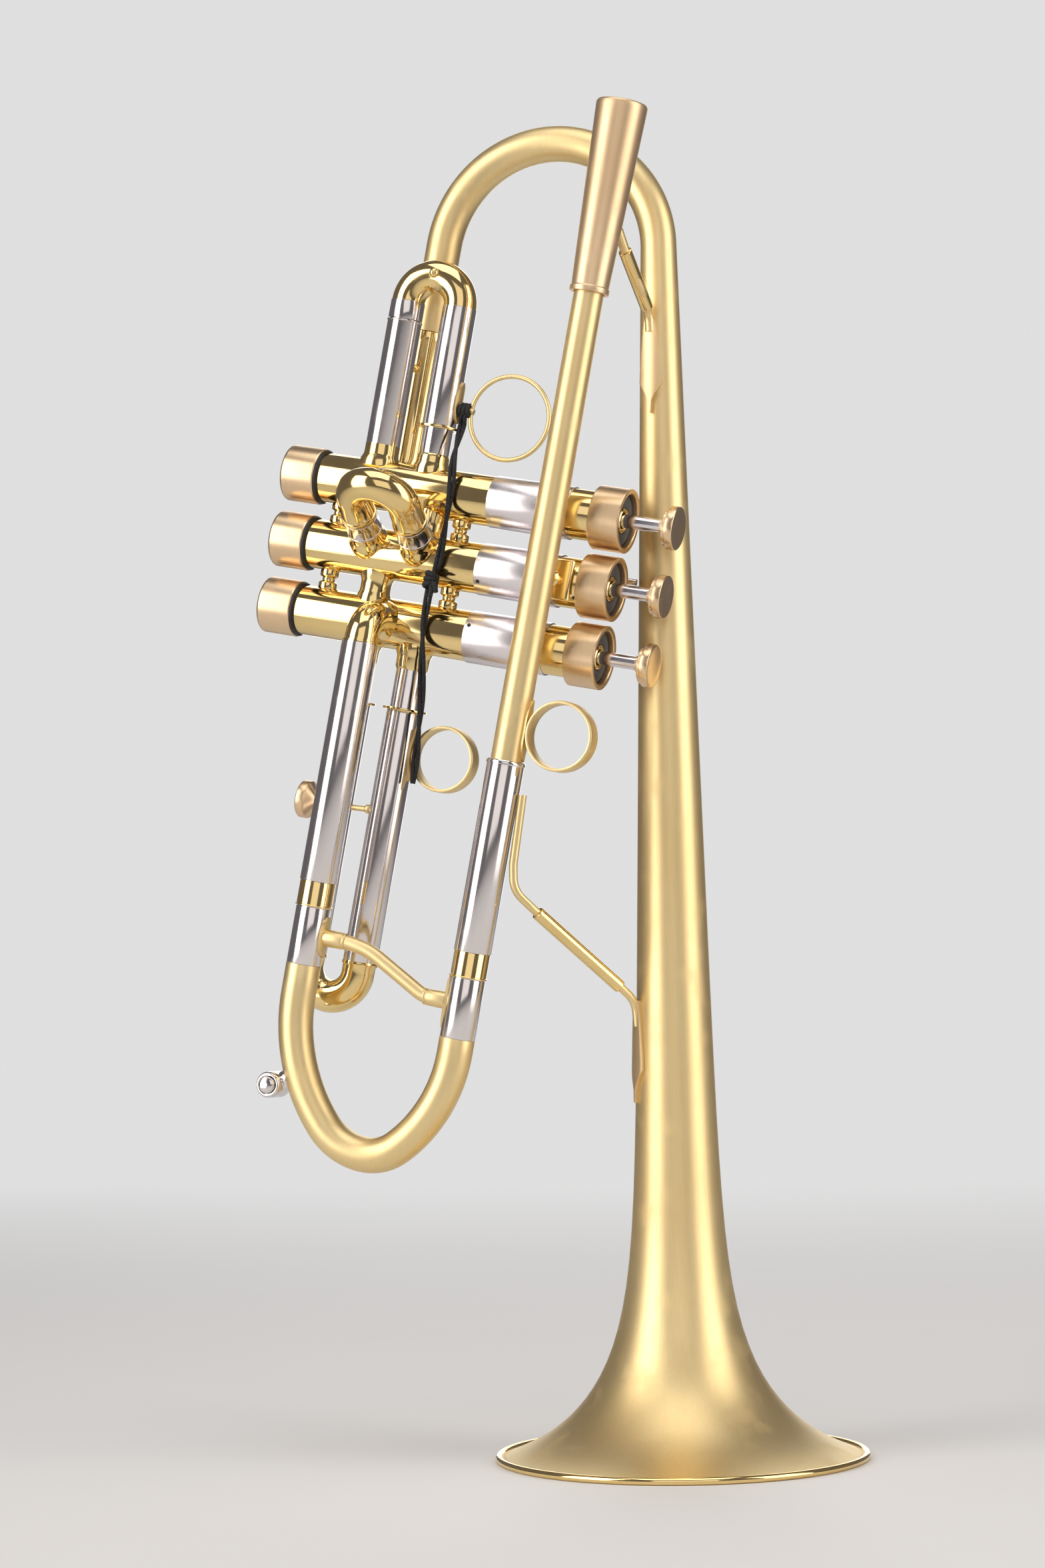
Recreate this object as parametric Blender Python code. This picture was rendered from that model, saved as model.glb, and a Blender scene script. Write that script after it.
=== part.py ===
"""B-flat trumpet with a raised bell, standing on its bell rim.

Lengths are in millimetres and become metres as each mesh is made. The row frame has +Z up
along the bell, +X towards the valve buttons and -Y towards the player's right hand. The valves,
leadpipe and slides share a second frame, the horn frame, which leans by HORN_TILT about Y: its
X runs up the valves, its Z runs back to the player, and its origin is on valve 2.
"""

from math import cos, exp, pi, radians, sin, sqrt

import bmesh
import bpy
from mathutils import Matrix, Vector

MM = 0.001
GAP = 0.3                                    # clearance between neighbouring pieces

# Frames
HORN_TILT = radians(11.74)
BELL_AXIS = Vector((40.9, 0.0, 0.0))
VALVE_2_FROM_BELL = Vector((-62.3, -22.5, 316.4))
HORN_ORIGIN = BELL_AXIS + VALVE_2_FROM_BELL
X_AXIS, Y_AXIS, Z_AXIS = Vector((1, 0, 0)), Vector((0, 1, 0)), Vector((0, 0, 1))

# Bell
BELL_WALL = 0.9
RIM_RADIUS, RIM_HEIGHT, RIM_BAND = 66.0, 2.6, 2.3
FLARE_EDGE_Z = 1.5
STEM_TOP = 432.3                             # height where the bell bow starts
BOW_RADIUS = 42.0
TUBE_RADIUS_AT_BOW = 6.5
STEM_TAPER = 0.0245                          # radius gained per millimetre down the stem
TAIL_END = 84.8                              # horn Z where the bell meets its ferrule

# Planes and tubes, in the horn frame
FRONT_PLANE, BACK_PLANE = -22.5, 22.5        # horn Y of the leadpipe and of the bell tail
LEG_X = 31.3                                 # leadpipe leg at +LEG_X, lower leg at -LEG_X
SLEEVE, SLEEVE_BORE = 6.6, 6.2
FERRULE = 6.2
LEG, LEG_BORE = 5.9, 5.3
BOW_TUBE = 6.25
SMALL_SLEEVE, SMALL_SLEEVE_BORE = 6.25, 5.85
SMALL_LEG, SMALL_LEG_BORE = 5.45, 5.0
CROOK_TUBE = 6.0

# Valves
VALVE_PITCH = 24.5
VALVE_Z = {1: VALVE_PITCH, 2: 0.0, 3: -VALVE_PITCH}
CASING_LOW, CASING_TOP = -66.5, 41.9
CASING, CASING_BORE = 9.1, 8.5
BARREL, BARREL_LOW, BARREL_TOP, COLLAR = 9.5, 1.3, 31.5, 8.95
GUIDE_LOW, GUIDE_TOP, GUIDE_BORE = 12.3, 14.3, 2.6
BOTTOM_CAP, BOTTOM_CAP_LOW = 10.3, -80.4
TOP_CAP, TOP_CAP_TOP = 11.5, 52.5
RECESS, RECESS_FLOOR = 9.5, 48.0
FELT_TOP = 50.4
PISTON, PISTON_BORE, PISTON_LOW, PISTON_TOP = 8.15, 7.2, -50.0, 12.0
STEM, STEM_TIP = 2.15, 66.5
SPRING_SEAT = 42.2
BUTTON, BUTTON_LOW, BUTTON_TOP = 7.8, 66.8, 71.3
SIDE_START = CASING + GAP                    # distance from a valve's axis to a tube's end

# Slides: horn X of their two legs and horn Z of their ends
FIRST_LOW_X, FIRST_HIGH_X = -46.0, -25.5
FIRST_FLANGE, FIRST_LINE, FIRST_CROOK = 47.5, 85.2, 92.0
SECOND_LOW_X, SECOND_HIGH_X = -42.3, -22.3
SECOND_LEAN = radians(32)                    # angle from straight out to back towards the player
SECOND_LINE, SECOND_CROOK = 21.5, 30.5       # distances from the valve axis
THIRD_LOW_X, THIRD_HIGH_X = -39.8, -19.5
THIRD_FLANGE, THIRD_CROOK = -54.0, -151.0
MAIN_LOW_JOINT, MAIN_HIGH_JOINT = -129.3, -143.3
MAIN_LOW_BOW, MAIN_HIGH_BOW = -149.8, -164.5
BOW_TIP = Vector((4.0, FRONT_PLANE, -211.4))

ROUND = 16                                   # sides of a turned piece
SMALL_ROUND = 14                             # sides of a slide tube

MATERIALS = {
    "satin_brass": ((0.78, 0.58, 0.28), 0.38, 1.0),
    "copper_brass": ((0.72, 0.47, 0.27), 0.36, 1.0),
    "polished_brass": ((0.85, 0.65, 0.30), 0.12, 1.0),
    "nickel_silver": ((0.72, 0.69, 0.66), 0.12, 1.0),
    "spring_steel": ((0.55, 0.55, 0.56), 0.30, 1.0),
    "piston_metal": ((0.62, 0.62, 0.60), 0.25, 1.0),
    "black_felt": ((0.03, 0.028, 0.03), 0.95, 0.0),
    "black_elastic": ((0.02, 0.02, 0.022), 0.80, 0.0),
}


def clear_scene():
    for obj in list(bpy.data.objects):
        bpy.data.objects.remove(obj, do_unlink=True)


def make_materials():
    made = {}
    for name, (colour, roughness, metallic) in MATERIALS.items():
        mat = bpy.data.materials.new(name)
        mat.use_nodes = True
        shader = mat.node_tree.nodes["Principled BSDF"]
        shader.inputs["Base Color"].default_value = (*colour, 1.0)
        shader.inputs["Roughness"].default_value = roughness
        shader.inputs["Metallic"].default_value = metallic
        made[name] = mat
    return made


def empty(name, place, parent=None, tilt=0.0):
    """An empty at place, in its parent's millimetres, leaning by tilt about Y."""
    frame = bpy.data.objects.new(name, None)
    frame.empty_display_size = 0.01
    frame.location = Vector(place) * MM
    frame.rotation_euler = (0.0, tilt, 0.0)
    frame.parent = parent
    bpy.context.collection.objects.link(frame)
    return frame


def put(obj, frame, material, joint_axis=None):
    """Give an object its material and parent; joint_axis is a moving body's empty in frame."""
    obj.data.materials.append(material)
    bpy.context.collection.objects.link(obj)
    obj.parent = joint_axis or frame
    if joint_axis:
        obj.matrix_parent_inverse = joint_axis.matrix_basis.inverted()
    return obj


def shade(mesh):
    mesh.shade_smooth()
    mesh.set_sharp_from_angle(angle=radians(35))


def skin(name, rings, sides, loop):
    """A mesh over a row of circles. A loop joins the last circle to the first, as in a tube
    with a wall; otherwise both ends are capped. A ring is (centre, axis, side, radius)."""
    bm = bmesh.new()
    rows = []
    for centre, axis, side, radius in rings:
        across = axis.cross(side)
        row = []
        for step in range(sides):
            turn = 2 * pi * step / sides
            row.append(bm.verts.new((centre + (side * cos(turn) + across * sin(turn)) * radius) * MM))
        rows.append(row)
    pairs = list(zip(rows, rows[1:]))
    if loop:
        pairs.append((rows[-1], rows[0]))
    for near, far in pairs:
        for k in range(sides):
            bm.faces.new((near[k], near[k - 1], far[k - 1], far[k]))
    if not loop:
        bm.faces.new(rows[0])
        bm.faces.new(reversed(rows[-1]))
    bmesh.ops.recalc_face_normals(bm, faces=bm.faces)
    mesh = bpy.data.meshes.new(name)
    bm.to_mesh(mesh)
    bm.free()
    shade(mesh)
    return bpy.data.objects.new(name, mesh)


def turned(name, base, axis, side, profile, sides=ROUND, loop=False):
    """A turned piece: profile is a list of (distance along the axis from base, radius)."""
    rings = [(base + axis * along, axis, side, radius) for along, radius in profile]
    return skin(name, rings, sides, loop)


def straight(start, end, steps=1):
    """Points along a straight run with their direction."""
    along = (end - start).normalized()
    return [(start.lerp(end, k / steps), along) for k in range(steps + 1)]


def quarter(centre, start_arm, end_arm, steps, part=1.0):
    """Points round an ellipse from centre + start_arm towards centre + end_arm."""
    points = []
    for k in range(steps + 1):
        turn = part * pi / 2 * k / steps
        place = centre + start_arm * cos(turn) + end_arm * sin(turn)
        points.append((place, (end_arm * cos(turn) - start_arm * sin(turn)).normalized()))
    return points


def wall(path, side, radius):
    """Circles of one radius, or of one radius for each point, along a path."""
    radii = radius if isinstance(radius, (list, tuple)) else [radius] * len(path)
    return [(place, along, side, r) for (place, along), r in zip(path, radii)]


def tube(name, path, side, outer, bore, sides=SMALL_ROUND):
    """An open tube along a path, outer and bore being radii."""
    return skin(name, wall(path, side, outer) + wall(path, side, bore)[::-1], sides, True)


def box(name, low, high):
    """A box between two corners, in the horn frame."""
    bm = bmesh.new()
    middle = (Vector(low) + Vector(high)) / 2 * MM
    size = (Vector(high) - Vector(low)) * MM
    bmesh.ops.create_cube(bm, size=1.0, matrix=Matrix.Translation(middle) @ Matrix.Diagonal((*size, 1.0)))
    mesh = bpy.data.meshes.new(name)
    bm.to_mesh(mesh)
    bm.free()
    return bpy.data.objects.new(name, mesh)


def join(obj, piece, frame):
    """Unite obj with a hidden piece."""
    bpy.context.collection.objects.link(piece)
    piece.parent = frame
    piece.hide_render = True
    piece.display_type = "WIRE"
    union = obj.modifiers.new("join_" + piece.name, "BOOLEAN")
    union.operation = "UNION"
    union.object = piece


def smooth(points, steps):
    """Points of a Catmull-Rom curve through points, with steps to each stretch."""
    ends = [points[0] * 2 - points[1], *points, points[-1] * 2 - points[-2]]
    curve = []
    for a, b, c, d in zip(ends, ends[1:], ends[2:], ends[3:]):
        for k in range(steps):
            t = k / steps
            curve.append(0.5 * (2 * b + (c - a) * t + (2 * a - 5 * b + 4 * c - d) * t ** 2
                                + (3 * b - a - 3 * c + d) * t ** 3))
    return curve + [points[-1]]


def wire(name, points, radii, resolution=2):
    """A round wire through points; radii is one radius or one for each point."""
    if not isinstance(radii, (list, tuple)):
        radii = [radii] * len(points)
    curve = bpy.data.curves.new(name, "CURVE")
    curve.dimensions = "3D"
    curve.bevel_depth = MM
    curve.bevel_resolution = resolution
    curve.use_fill_caps = True
    curve.resolution_u = 1
    curve.render_resolution_u = 0
    spline = curve.splines.new("POLY")
    spline.points.add(len(points) - 1)
    for point, place, radius in zip(spline.points, points, radii):
        point.co = (*(place * MM), 1.0)
        point.radius = radius
    return bpy.data.objects.new(name, curve)


def vec(x, y, z):
    return Vector((x, y, z))


# Bell ---------------------------------------------------------------------------------------

def bell_radius(z):
    """Outer radius of the bell at height z: a long taper with a flare at the mouth."""
    taper = TUBE_RADIUS_AT_BOW + STEM_TAPER * (STEM_TOP - z)
    return taper + 42.0 * exp(-z / 23.5) + 8.7 * exp(-z / 6.0)


def bell_tail_x():
    """Horn X of the bell's straight tail, behind the bow."""
    end = vec(-BOW_RADIUS * (1 + cos(HORN_TILT)), 0, STEM_TOP + BOW_RADIUS * sin(HORN_TILT))
    from_valve = end - VALVE_2_FROM_BELL
    return from_valve.x * cos(HORN_TILT) - from_valve.z * sin(HORN_TILT)


def make_bell(frame, mats):
    heights = [FLARE_EDGE_Z, 3.5, 7.0, 12.0, 19.0, 28.0, 40.0, 58.0, 85.0, 130.0, 200.0, 300.0]
    outer, bore = [], []
    for z in heights:
        slope = (bell_radius(z + 0.01) - bell_radius(z - 0.01)) / 0.02
        lean = sqrt(1 + slope ** 2)
        outer.append((vec(0, 0, z), Z_AXIS, Y_AXIS, bell_radius(z)))
        inner = vec(0, 0, z + BELL_WALL * slope / lean)
        bore.append((inner, Z_AXIS, Y_AXIS, bell_radius(z) - BELL_WALL / lean))
    middle = vec(-BOW_RADIUS, 0, STEM_TOP)
    bow = quarter(middle, X_AXIS * BOW_RADIUS, Z_AXIS * BOW_RADIUS, 13, 2 - HORN_TILT / (pi / 2))
    bow_end, along = bow[-1]
    tail_length = (bow_end - VALVE_2_FROM_BELL).dot(-along) - TAIL_END
    bow += [(bow_end + along * tail_length, along)]
    outer += wall(bow, Y_AXIS, TUBE_RADIUS_AT_BOW)
    bore += wall(bow, Y_AXIS, TUBE_RADIUS_AT_BOW - BELL_WALL)
    put(skin("bell", outer + bore[::-1], 20, True), frame, mats["satin_brass"])
    inside = RIM_RADIUS - RIM_BAND
    profile = [(0, inside + 0.4), (0, RIM_RADIUS - 0.7), (0.7, RIM_RADIUS),
               (RIM_HEIGHT - 0.7, RIM_RADIUS), (RIM_HEIGHT, RIM_RADIUS - 0.7),
               (RIM_HEIGHT, inside + 0.4), (RIM_HEIGHT - 0.5, inside), (0.5, inside)]
    rim = turned("bell_rim", vec(0, 0, 0), Z_AXIS, Y_AXIS, profile, 32, True)
    put(rim, frame, mats["polished_brass"])


def make_bell_port(frame, mats):
    """Ferrule at the end of the bell's tail, turning into the back of valve 1."""
    x, radius = bell_tail_x(), BACK_PLANE - SIDE_START
    corner = vec(x, SIDE_START, VALVE_Z[1] + radius)
    path = straight(vec(x, BACK_PLANE, TAIL_END - GAP), vec(x, BACK_PLANE, corner.z))
    path += quarter(corner, Y_AXIS * radius, -Z_AXIS * radius, 6)[1:]
    put(tube("bell_tail_port", path, X_AXIS, 6.5, 5.6), frame, mats["polished_brass"])


# Leadpipe side ------------------------------------------------------------------------------

def make_leadpipe(frame, mats):
    top = vec(LEG_X, FRONT_PLANE, 0)
    profile = [(100.0, 6.1), (100.0, 6.7), (102.0, 6.5), (164.8, 9.1), (166.4, 8.9),
               (166.8, 8.2), (166.8, 6.1), (145.0, 5.6), (140.4, 5.6), (140.4, 6.1)]
    receiver = turned("receiver", top, Z_AXIS, X_AXIS, profile, ROUND, True)
    put(receiver, frame, mats["copper_brass"])
    path = straight(top + vec(0, 0, 140.0), top + vec(0, 0, -66.0), 2)
    put(tube("leadpipe", path, X_AXIS, [5.2, 5.5, 5.6], 4.7), frame, mats["satin_brass"])
    ends = {"main_slide_upper_sleeve": (LEG_X, -66.0 - GAP, MAIN_HIGH_JOINT),
            "main_slide_lower_sleeve": (-LEG_X, -33.6 - GAP, MAIN_LOW_JOINT)}
    for name, (x, start, end) in ends.items():
        path = straight(vec(x, FRONT_PLANE, start), vec(x, FRONT_PLANE, end + GAP))
        put(tube(name, path, X_AXIS, SLEEVE, SLEEVE_BORE), frame, mats["nickel_silver"])
    radius = 9.1
    corner = vec(-LEG_X, FRONT_PLANE + radius, VALVE_Z[3] - radius)
    path = quarter(corner, -Y_AXIS * radius, Z_AXIS * radius, 6)
    path += [(vec(-LEG_X, -SIDE_START, VALVE_Z[3]), Y_AXIS)]
    put(tube("valve_3_elbow", path, X_AXIS, 6.1, 5.3), frame, mats["polished_brass"])


def finger_ring(name, centre, radius, thickness, width, plate, mats, frame, joint_axis=None):
    """A round finger ring about Y on a thin plate that lies along a tube on its low-X side.
    plate is (low X, high X, half its width, low Z, high Z)."""
    band = [(-width / 2, radius), (width / 2, radius), (width / 2, radius - thickness),
            (-width / 2, radius - thickness)]
    ring = turned(name, centre, Y_AXIS, X_AXIS, band, 24, True)
    put(ring, frame, mats["satin_brass"], joint_axis)
    low_x, high_x, half_width, low_z, high_z = plate
    low, high = vec(low_x, centre.y - half_width, low_z), vec(high_x, centre.y + half_width, high_z)
    join(ring, box(name + "_plate", low, high), frame)
    ring_low_x = centre.x - radius
    if ring_low_x > high_x:
        low = vec(high_x - 0.5, centre.y - 1.2, centre.z - 2)
        high = vec(ring_low_x + 0.6, centre.y + 1.2, centre.z + 2)
        join(ring, box(name + "_neck", low, high), frame)


# Valves -------------------------------------------------------------------------------------

def make_valve(number, frame, mats):
    base = vec(0, 0, VALVE_Z[number])
    name = f"valve_{number}_"

    def along_x(piece, profile, material, loop=False, sides=ROUND, joint_axis=None):
        obj = turned(name + piece, base, X_AXIS, Y_AXIS, profile, sides, loop)
        put(obj, frame, mats[material], joint_axis)

    along_x("casing", [
        (CASING_LOW, CASING), (BARREL_LOW, CASING), (BARREL_LOW, BARREL), (BARREL_TOP, BARREL),
        (BARREL_TOP, COLLAR), (CASING_TOP, COLLAR), (CASING_TOP, CASING_BORE), (GUIDE_TOP, CASING_BORE),
        (GUIDE_TOP, GUIDE_BORE), (GUIDE_LOW, GUIDE_BORE), (GUIDE_LOW, CASING_BORE),
        (CASING_LOW, CASING_BORE),
    ], "polished_brass", True)
    along_x("bottom_cap", [
        (BOTTOM_CAP_LOW, BOTTOM_CAP - 1.7), (BOTTOM_CAP_LOW + 1.7, BOTTOM_CAP),
        (CASING_LOW - GAP, BOTTOM_CAP), (CASING_LOW - GAP, 8.7), (BOTTOM_CAP_LOW + 2.3, 8.7),
    ], "copper_brass")
    along_x("top_cap", [
        (CASING_TOP + GAP, TOP_CAP), (TOP_CAP_TOP - 0.5, TOP_CAP), (TOP_CAP_TOP, TOP_CAP - 0.5),
        (TOP_CAP_TOP, RECESS), (RECESS_FLOOR, RECESS), (RECESS_FLOOR, 2.7), (RECESS_FLOOR - 1.9, 2.7),
        (RECESS_FLOOR - 1.9, 9.0), (CASING_TOP + GAP, 9.0),
    ], "copper_brass", True)
    along_x("cap_felt", [
        (RECESS_FLOOR + GAP, RECESS - GAP), (FELT_TOP, RECESS - GAP), (FELT_TOP, 3.0),
        (RECESS_FLOOR + GAP, 3.0),
    ], "black_felt", True)

    travel = empty(f"valve_{number}_axis", base, frame)
    along_x("piston", [
        (STEM_TIP, STEM), (SPRING_SEAT + 1.6, STEM), (SPRING_SEAT + 1.6, 7.6), (SPRING_SEAT, 7.6),
        (SPRING_SEAT, STEM), (PISTON_TOP, STEM), (PISTON_TOP, PISTON), (PISTON_LOW, PISTON),
        (PISTON_LOW, PISTON_BORE), (PISTON_TOP - 2.5, PISTON_BORE),
    ], "piston_metal", joint_axis=travel)
    along_x("button", [
        (BUTTON_LOW, BUTTON - 0.5), (BUTTON_LOW + 0.5, BUTTON), (BUTTON_TOP - 0.6, BUTTON),
        (BUTTON_TOP, BUTTON - 0.6),
    ], "satin_brass", joint_axis=travel)

    turns, per_turn, coil, gauge = 5, 8, 5.4, 0.45
    start = GUIDE_TOP + GAP + gauge
    length = SPRING_SEAT - GAP - gauge - start
    points = []
    for k in range(turns * per_turn + 1):
        turn = 2 * pi * k / per_turn
        rise = start + length * k / (turns * per_turn)
        points.append(base + vec(rise, coil * cos(turn), coil * sin(turn)))
    put(wire(name + "spring", points, gauge, 0), frame, mats["spring_steel"])


def make_valve_links(frame, mats):
    """Short turned spacers and wind ports between neighbouring casings."""
    half = VALVE_PITCH / 2 - SIDE_START
    spool = [(-half, 3.2), (-half + 1.2, 3.2), (-0.6, 2.2), (0.6, 2.2), (half - 1.2, 3.2), (half, 3.2)]
    for pair, middle in (("1_2", VALVE_PITCH / 2), ("2_3", -VALVE_PITCH / 2)):
        for place, x in (("lower", -58.0), ("upper", -10.0)):
            link = turned(f"link_{pair}_{place}", vec(x, 0, middle), Z_AXIS, X_AXIS, spool, 12)
            put(link, frame, mats["polished_brass"])
        x = -39.0 if pair == "2_3" else -22.0
        path = straight(vec(x, 0, middle - half), vec(x, 0, middle + half))
        put(tube(f"port_{pair}", path, X_AXIS, 5.6, 4.7), frame, mats["polished_brass"])


# Slides -------------------------------------------------------------------------------------

def make_first_slide(frame, mats):
    start = VALVE_Z[1] + SIDE_START
    path = straight(vec(FIRST_LOW_X, 0, start), vec(FIRST_LOW_X, 0, FIRST_LINE - GAP))
    sleeve = tube("first_slide_lower_sleeve", path, X_AXIS, SMALL_SLEEVE, SMALL_SLEEVE_BORE)
    put(sleeve, frame, mats["nickel_silver"])
    path = straight(vec(FIRST_HIGH_X, 0, start), vec(FIRST_HIGH_X, 0, FIRST_CROOK - 6))
    leg = tube("first_slide_upper_tube", path, X_AXIS, SMALL_LEG, SMALL_LEG_BORE)
    put(leg, frame, mats["nickel_silver"])

    pull = empty("first_slide_axis", (FIRST_HIGH_X, 0, 0), frame)
    low, high = vec(FIRST_LOW_X, 0, 0), vec(FIRST_HIGH_X, 0, 0)
    half = (FIRST_HIGH_X - FIRST_LOW_X) / 2
    turn = quarter(vec(FIRST_LOW_X + half, 0, FIRST_CROOK), -X_AXIS * half, Z_AXIS * half, 8, 2.0)
    up, down = Z_AXIS, -Z_AXIS
    outer = wall([(low + up * 45.0, up), (low + up * FIRST_LINE, up)], Y_AXIS, SMALL_LEG)
    outer += wall([(low + up * FIRST_LINE, up), turn[0]], Y_AXIS, SMALL_SLEEVE)
    outer += wall(turn, Y_AXIS, CROOK_TUBE)
    outer += wall([turn[-1], (high + up * (FIRST_FLANGE + 1.5), down)], Y_AXIS, SMALL_SLEEVE)
    outer += wall([(high + up * (FIRST_FLANGE + 1.5), down), (high + up * FIRST_FLANGE, down)], Y_AXIS, 7.5)
    step = high + up * (FIRST_CROOK - 5)
    bore = wall([(low + up * 45.0, up), *turn, (step, down)], Y_AXIS, SMALL_LEG_BORE)
    bore += wall([(step, down), (high + up * FIRST_FLANGE, down)], Y_AXIS, SMALL_SLEEVE_BORE)
    crook = skin("first_slide_crook", outer + bore[::-1], SMALL_ROUND, True)
    put(crook, frame, mats["polished_brass"], pull)
    surface = FIRST_HIGH_X + SMALL_SLEEVE + GAP
    finger_ring("first_slide_ring", vec(1.0, 0, 55.0), 15.9, 1.6, 2.0,
                (surface, surface + 0.9, 2.5, 50.5, 65.5), mats, frame, pull)


def make_second_slide(frame, mats):
    out = vec(0, -cos(SECOND_LEAN), sin(SECOND_LEAN))
    side = out.cross(X_AXIS)
    low, high = vec(SECOND_LOW_X, 0, 0), vec(SECOND_HIGH_X, 0, 0)
    for name, leg in (("second_slide_lower_sleeve", low), ("second_slide_upper_sleeve", high)):
        path = straight(leg + out * (SIDE_START + 4.1), leg + out * (SECOND_LINE - GAP))
        put(tube(name, path, X_AXIS, SMALL_SLEEVE, SMALL_SLEEVE_BORE), frame, mats["nickel_silver"])
    pull = empty("second_slide_axis", low, frame)
    half = (SECOND_HIGH_X - SECOND_LOW_X) / 2
    turn = quarter(low + X_AXIS * half + out * SECOND_CROOK, -X_AXIS * half, out * half, 8, 2.0)
    inside = SIDE_START + 4.5
    outer = wall([(low + out * inside, out), (low + out * SECOND_LINE, out)], side, SMALL_LEG)
    outer += wall([(low + out * SECOND_LINE, out), *turn, (high + out * SECOND_LINE, -out)],
                  side, SMALL_SLEEVE)
    outer += wall([(high + out * SECOND_LINE, -out), (high + out * inside, -out)], side, SMALL_LEG)
    bore = wall([(low + out * inside, out), *turn, (high + out * inside, -out)], side, SMALL_LEG_BORE)
    crook = skin("second_slide_crook", outer + bore[::-1], SMALL_ROUND, True)
    put(crook, frame, mats["polished_brass"], pull)


def make_third_slide(frame, mats):
    start = VALVE_Z[3] - SIDE_START
    for name, x in (("third_slide_lower_tube", THIRD_LOW_X), ("third_slide_upper_tube", THIRD_HIGH_X)):
        path = straight(vec(x, 0, start), vec(x, 0, THIRD_CROOK + 8))
        put(tube(name, path, X_AXIS, SMALL_LEG, SMALL_LEG_BORE), frame, mats["nickel_silver"])
    pull = empty("third_slide_axis", (THIRD_HIGH_X, 0, 0), frame)
    half = (THIRD_HIGH_X - THIRD_LOW_X) / 2
    turn = quarter(vec(THIRD_LOW_X + half, 0, THIRD_CROOK), -X_AXIS * half, -Z_AXIS * half, 8, 2.0)
    low, high = vec(THIRD_LOW_X, 0, 0), vec(THIRD_HIGH_X, 0, 0)
    up, down = Z_AXIS, -Z_AXIS
    lip, edge = THIRD_FLANGE - 1.5, THIRD_FLANGE
    outer = wall([(low + up * edge, down), (low + up * lip, down)], Y_AXIS, 7.5)
    outer += wall([(low + up * lip, down), turn[0]], Y_AXIS, SMALL_SLEEVE)
    outer += wall(turn, Y_AXIS, CROOK_TUBE)
    outer += wall([turn[-1], (high + up * lip, up)], Y_AXIS, SMALL_SLEEVE)
    outer += wall([(high + up * lip, up), (high + up * edge, up)], Y_AXIS, 7.5)
    step = THIRD_CROOK + 5
    bore = wall([(low + up * edge, down), (low + up * step, down)], Y_AXIS, SMALL_SLEEVE_BORE)
    bore += wall([(low + up * step, down), *turn, (high + up * step, up)], Y_AXIS, SMALL_LEG_BORE)
    bore += wall([(high + up * step, up), (high + up * edge, up)], Y_AXIS, SMALL_SLEEVE_BORE)
    crook = skin("third_slide_crook", outer + bore[::-1], SMALL_ROUND, True)
    put(crook, frame, mats["polished_brass"], pull)
    surface = THIRD_HIGH_X + SMALL_SLEEVE + GAP
    finger_ring("third_slide_ring", vec(surface + 12.3, 0, -69.6), 12.0, 1.2, 7.0,
                (surface, surface + 0.9, 3.5, -79.6, -59.6), mats, frame, pull)
    neck = THIRD_LOW_X - SMALL_SLEEVE - GAP
    knob = [(neck, 1.8), (neck - 0.9, 2.0), (neck - 3.4, 6.6), (neck - 3.8, 6.9), (neck - 6.6, 6.9), (neck - 7.0, 6.4)]
    put(turned("third_slide_knob", vec(0, 0, -92.5), X_AXIS, Y_AXIS, knob, ROUND), frame,
        mats["copper_brass"], pull)


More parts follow.
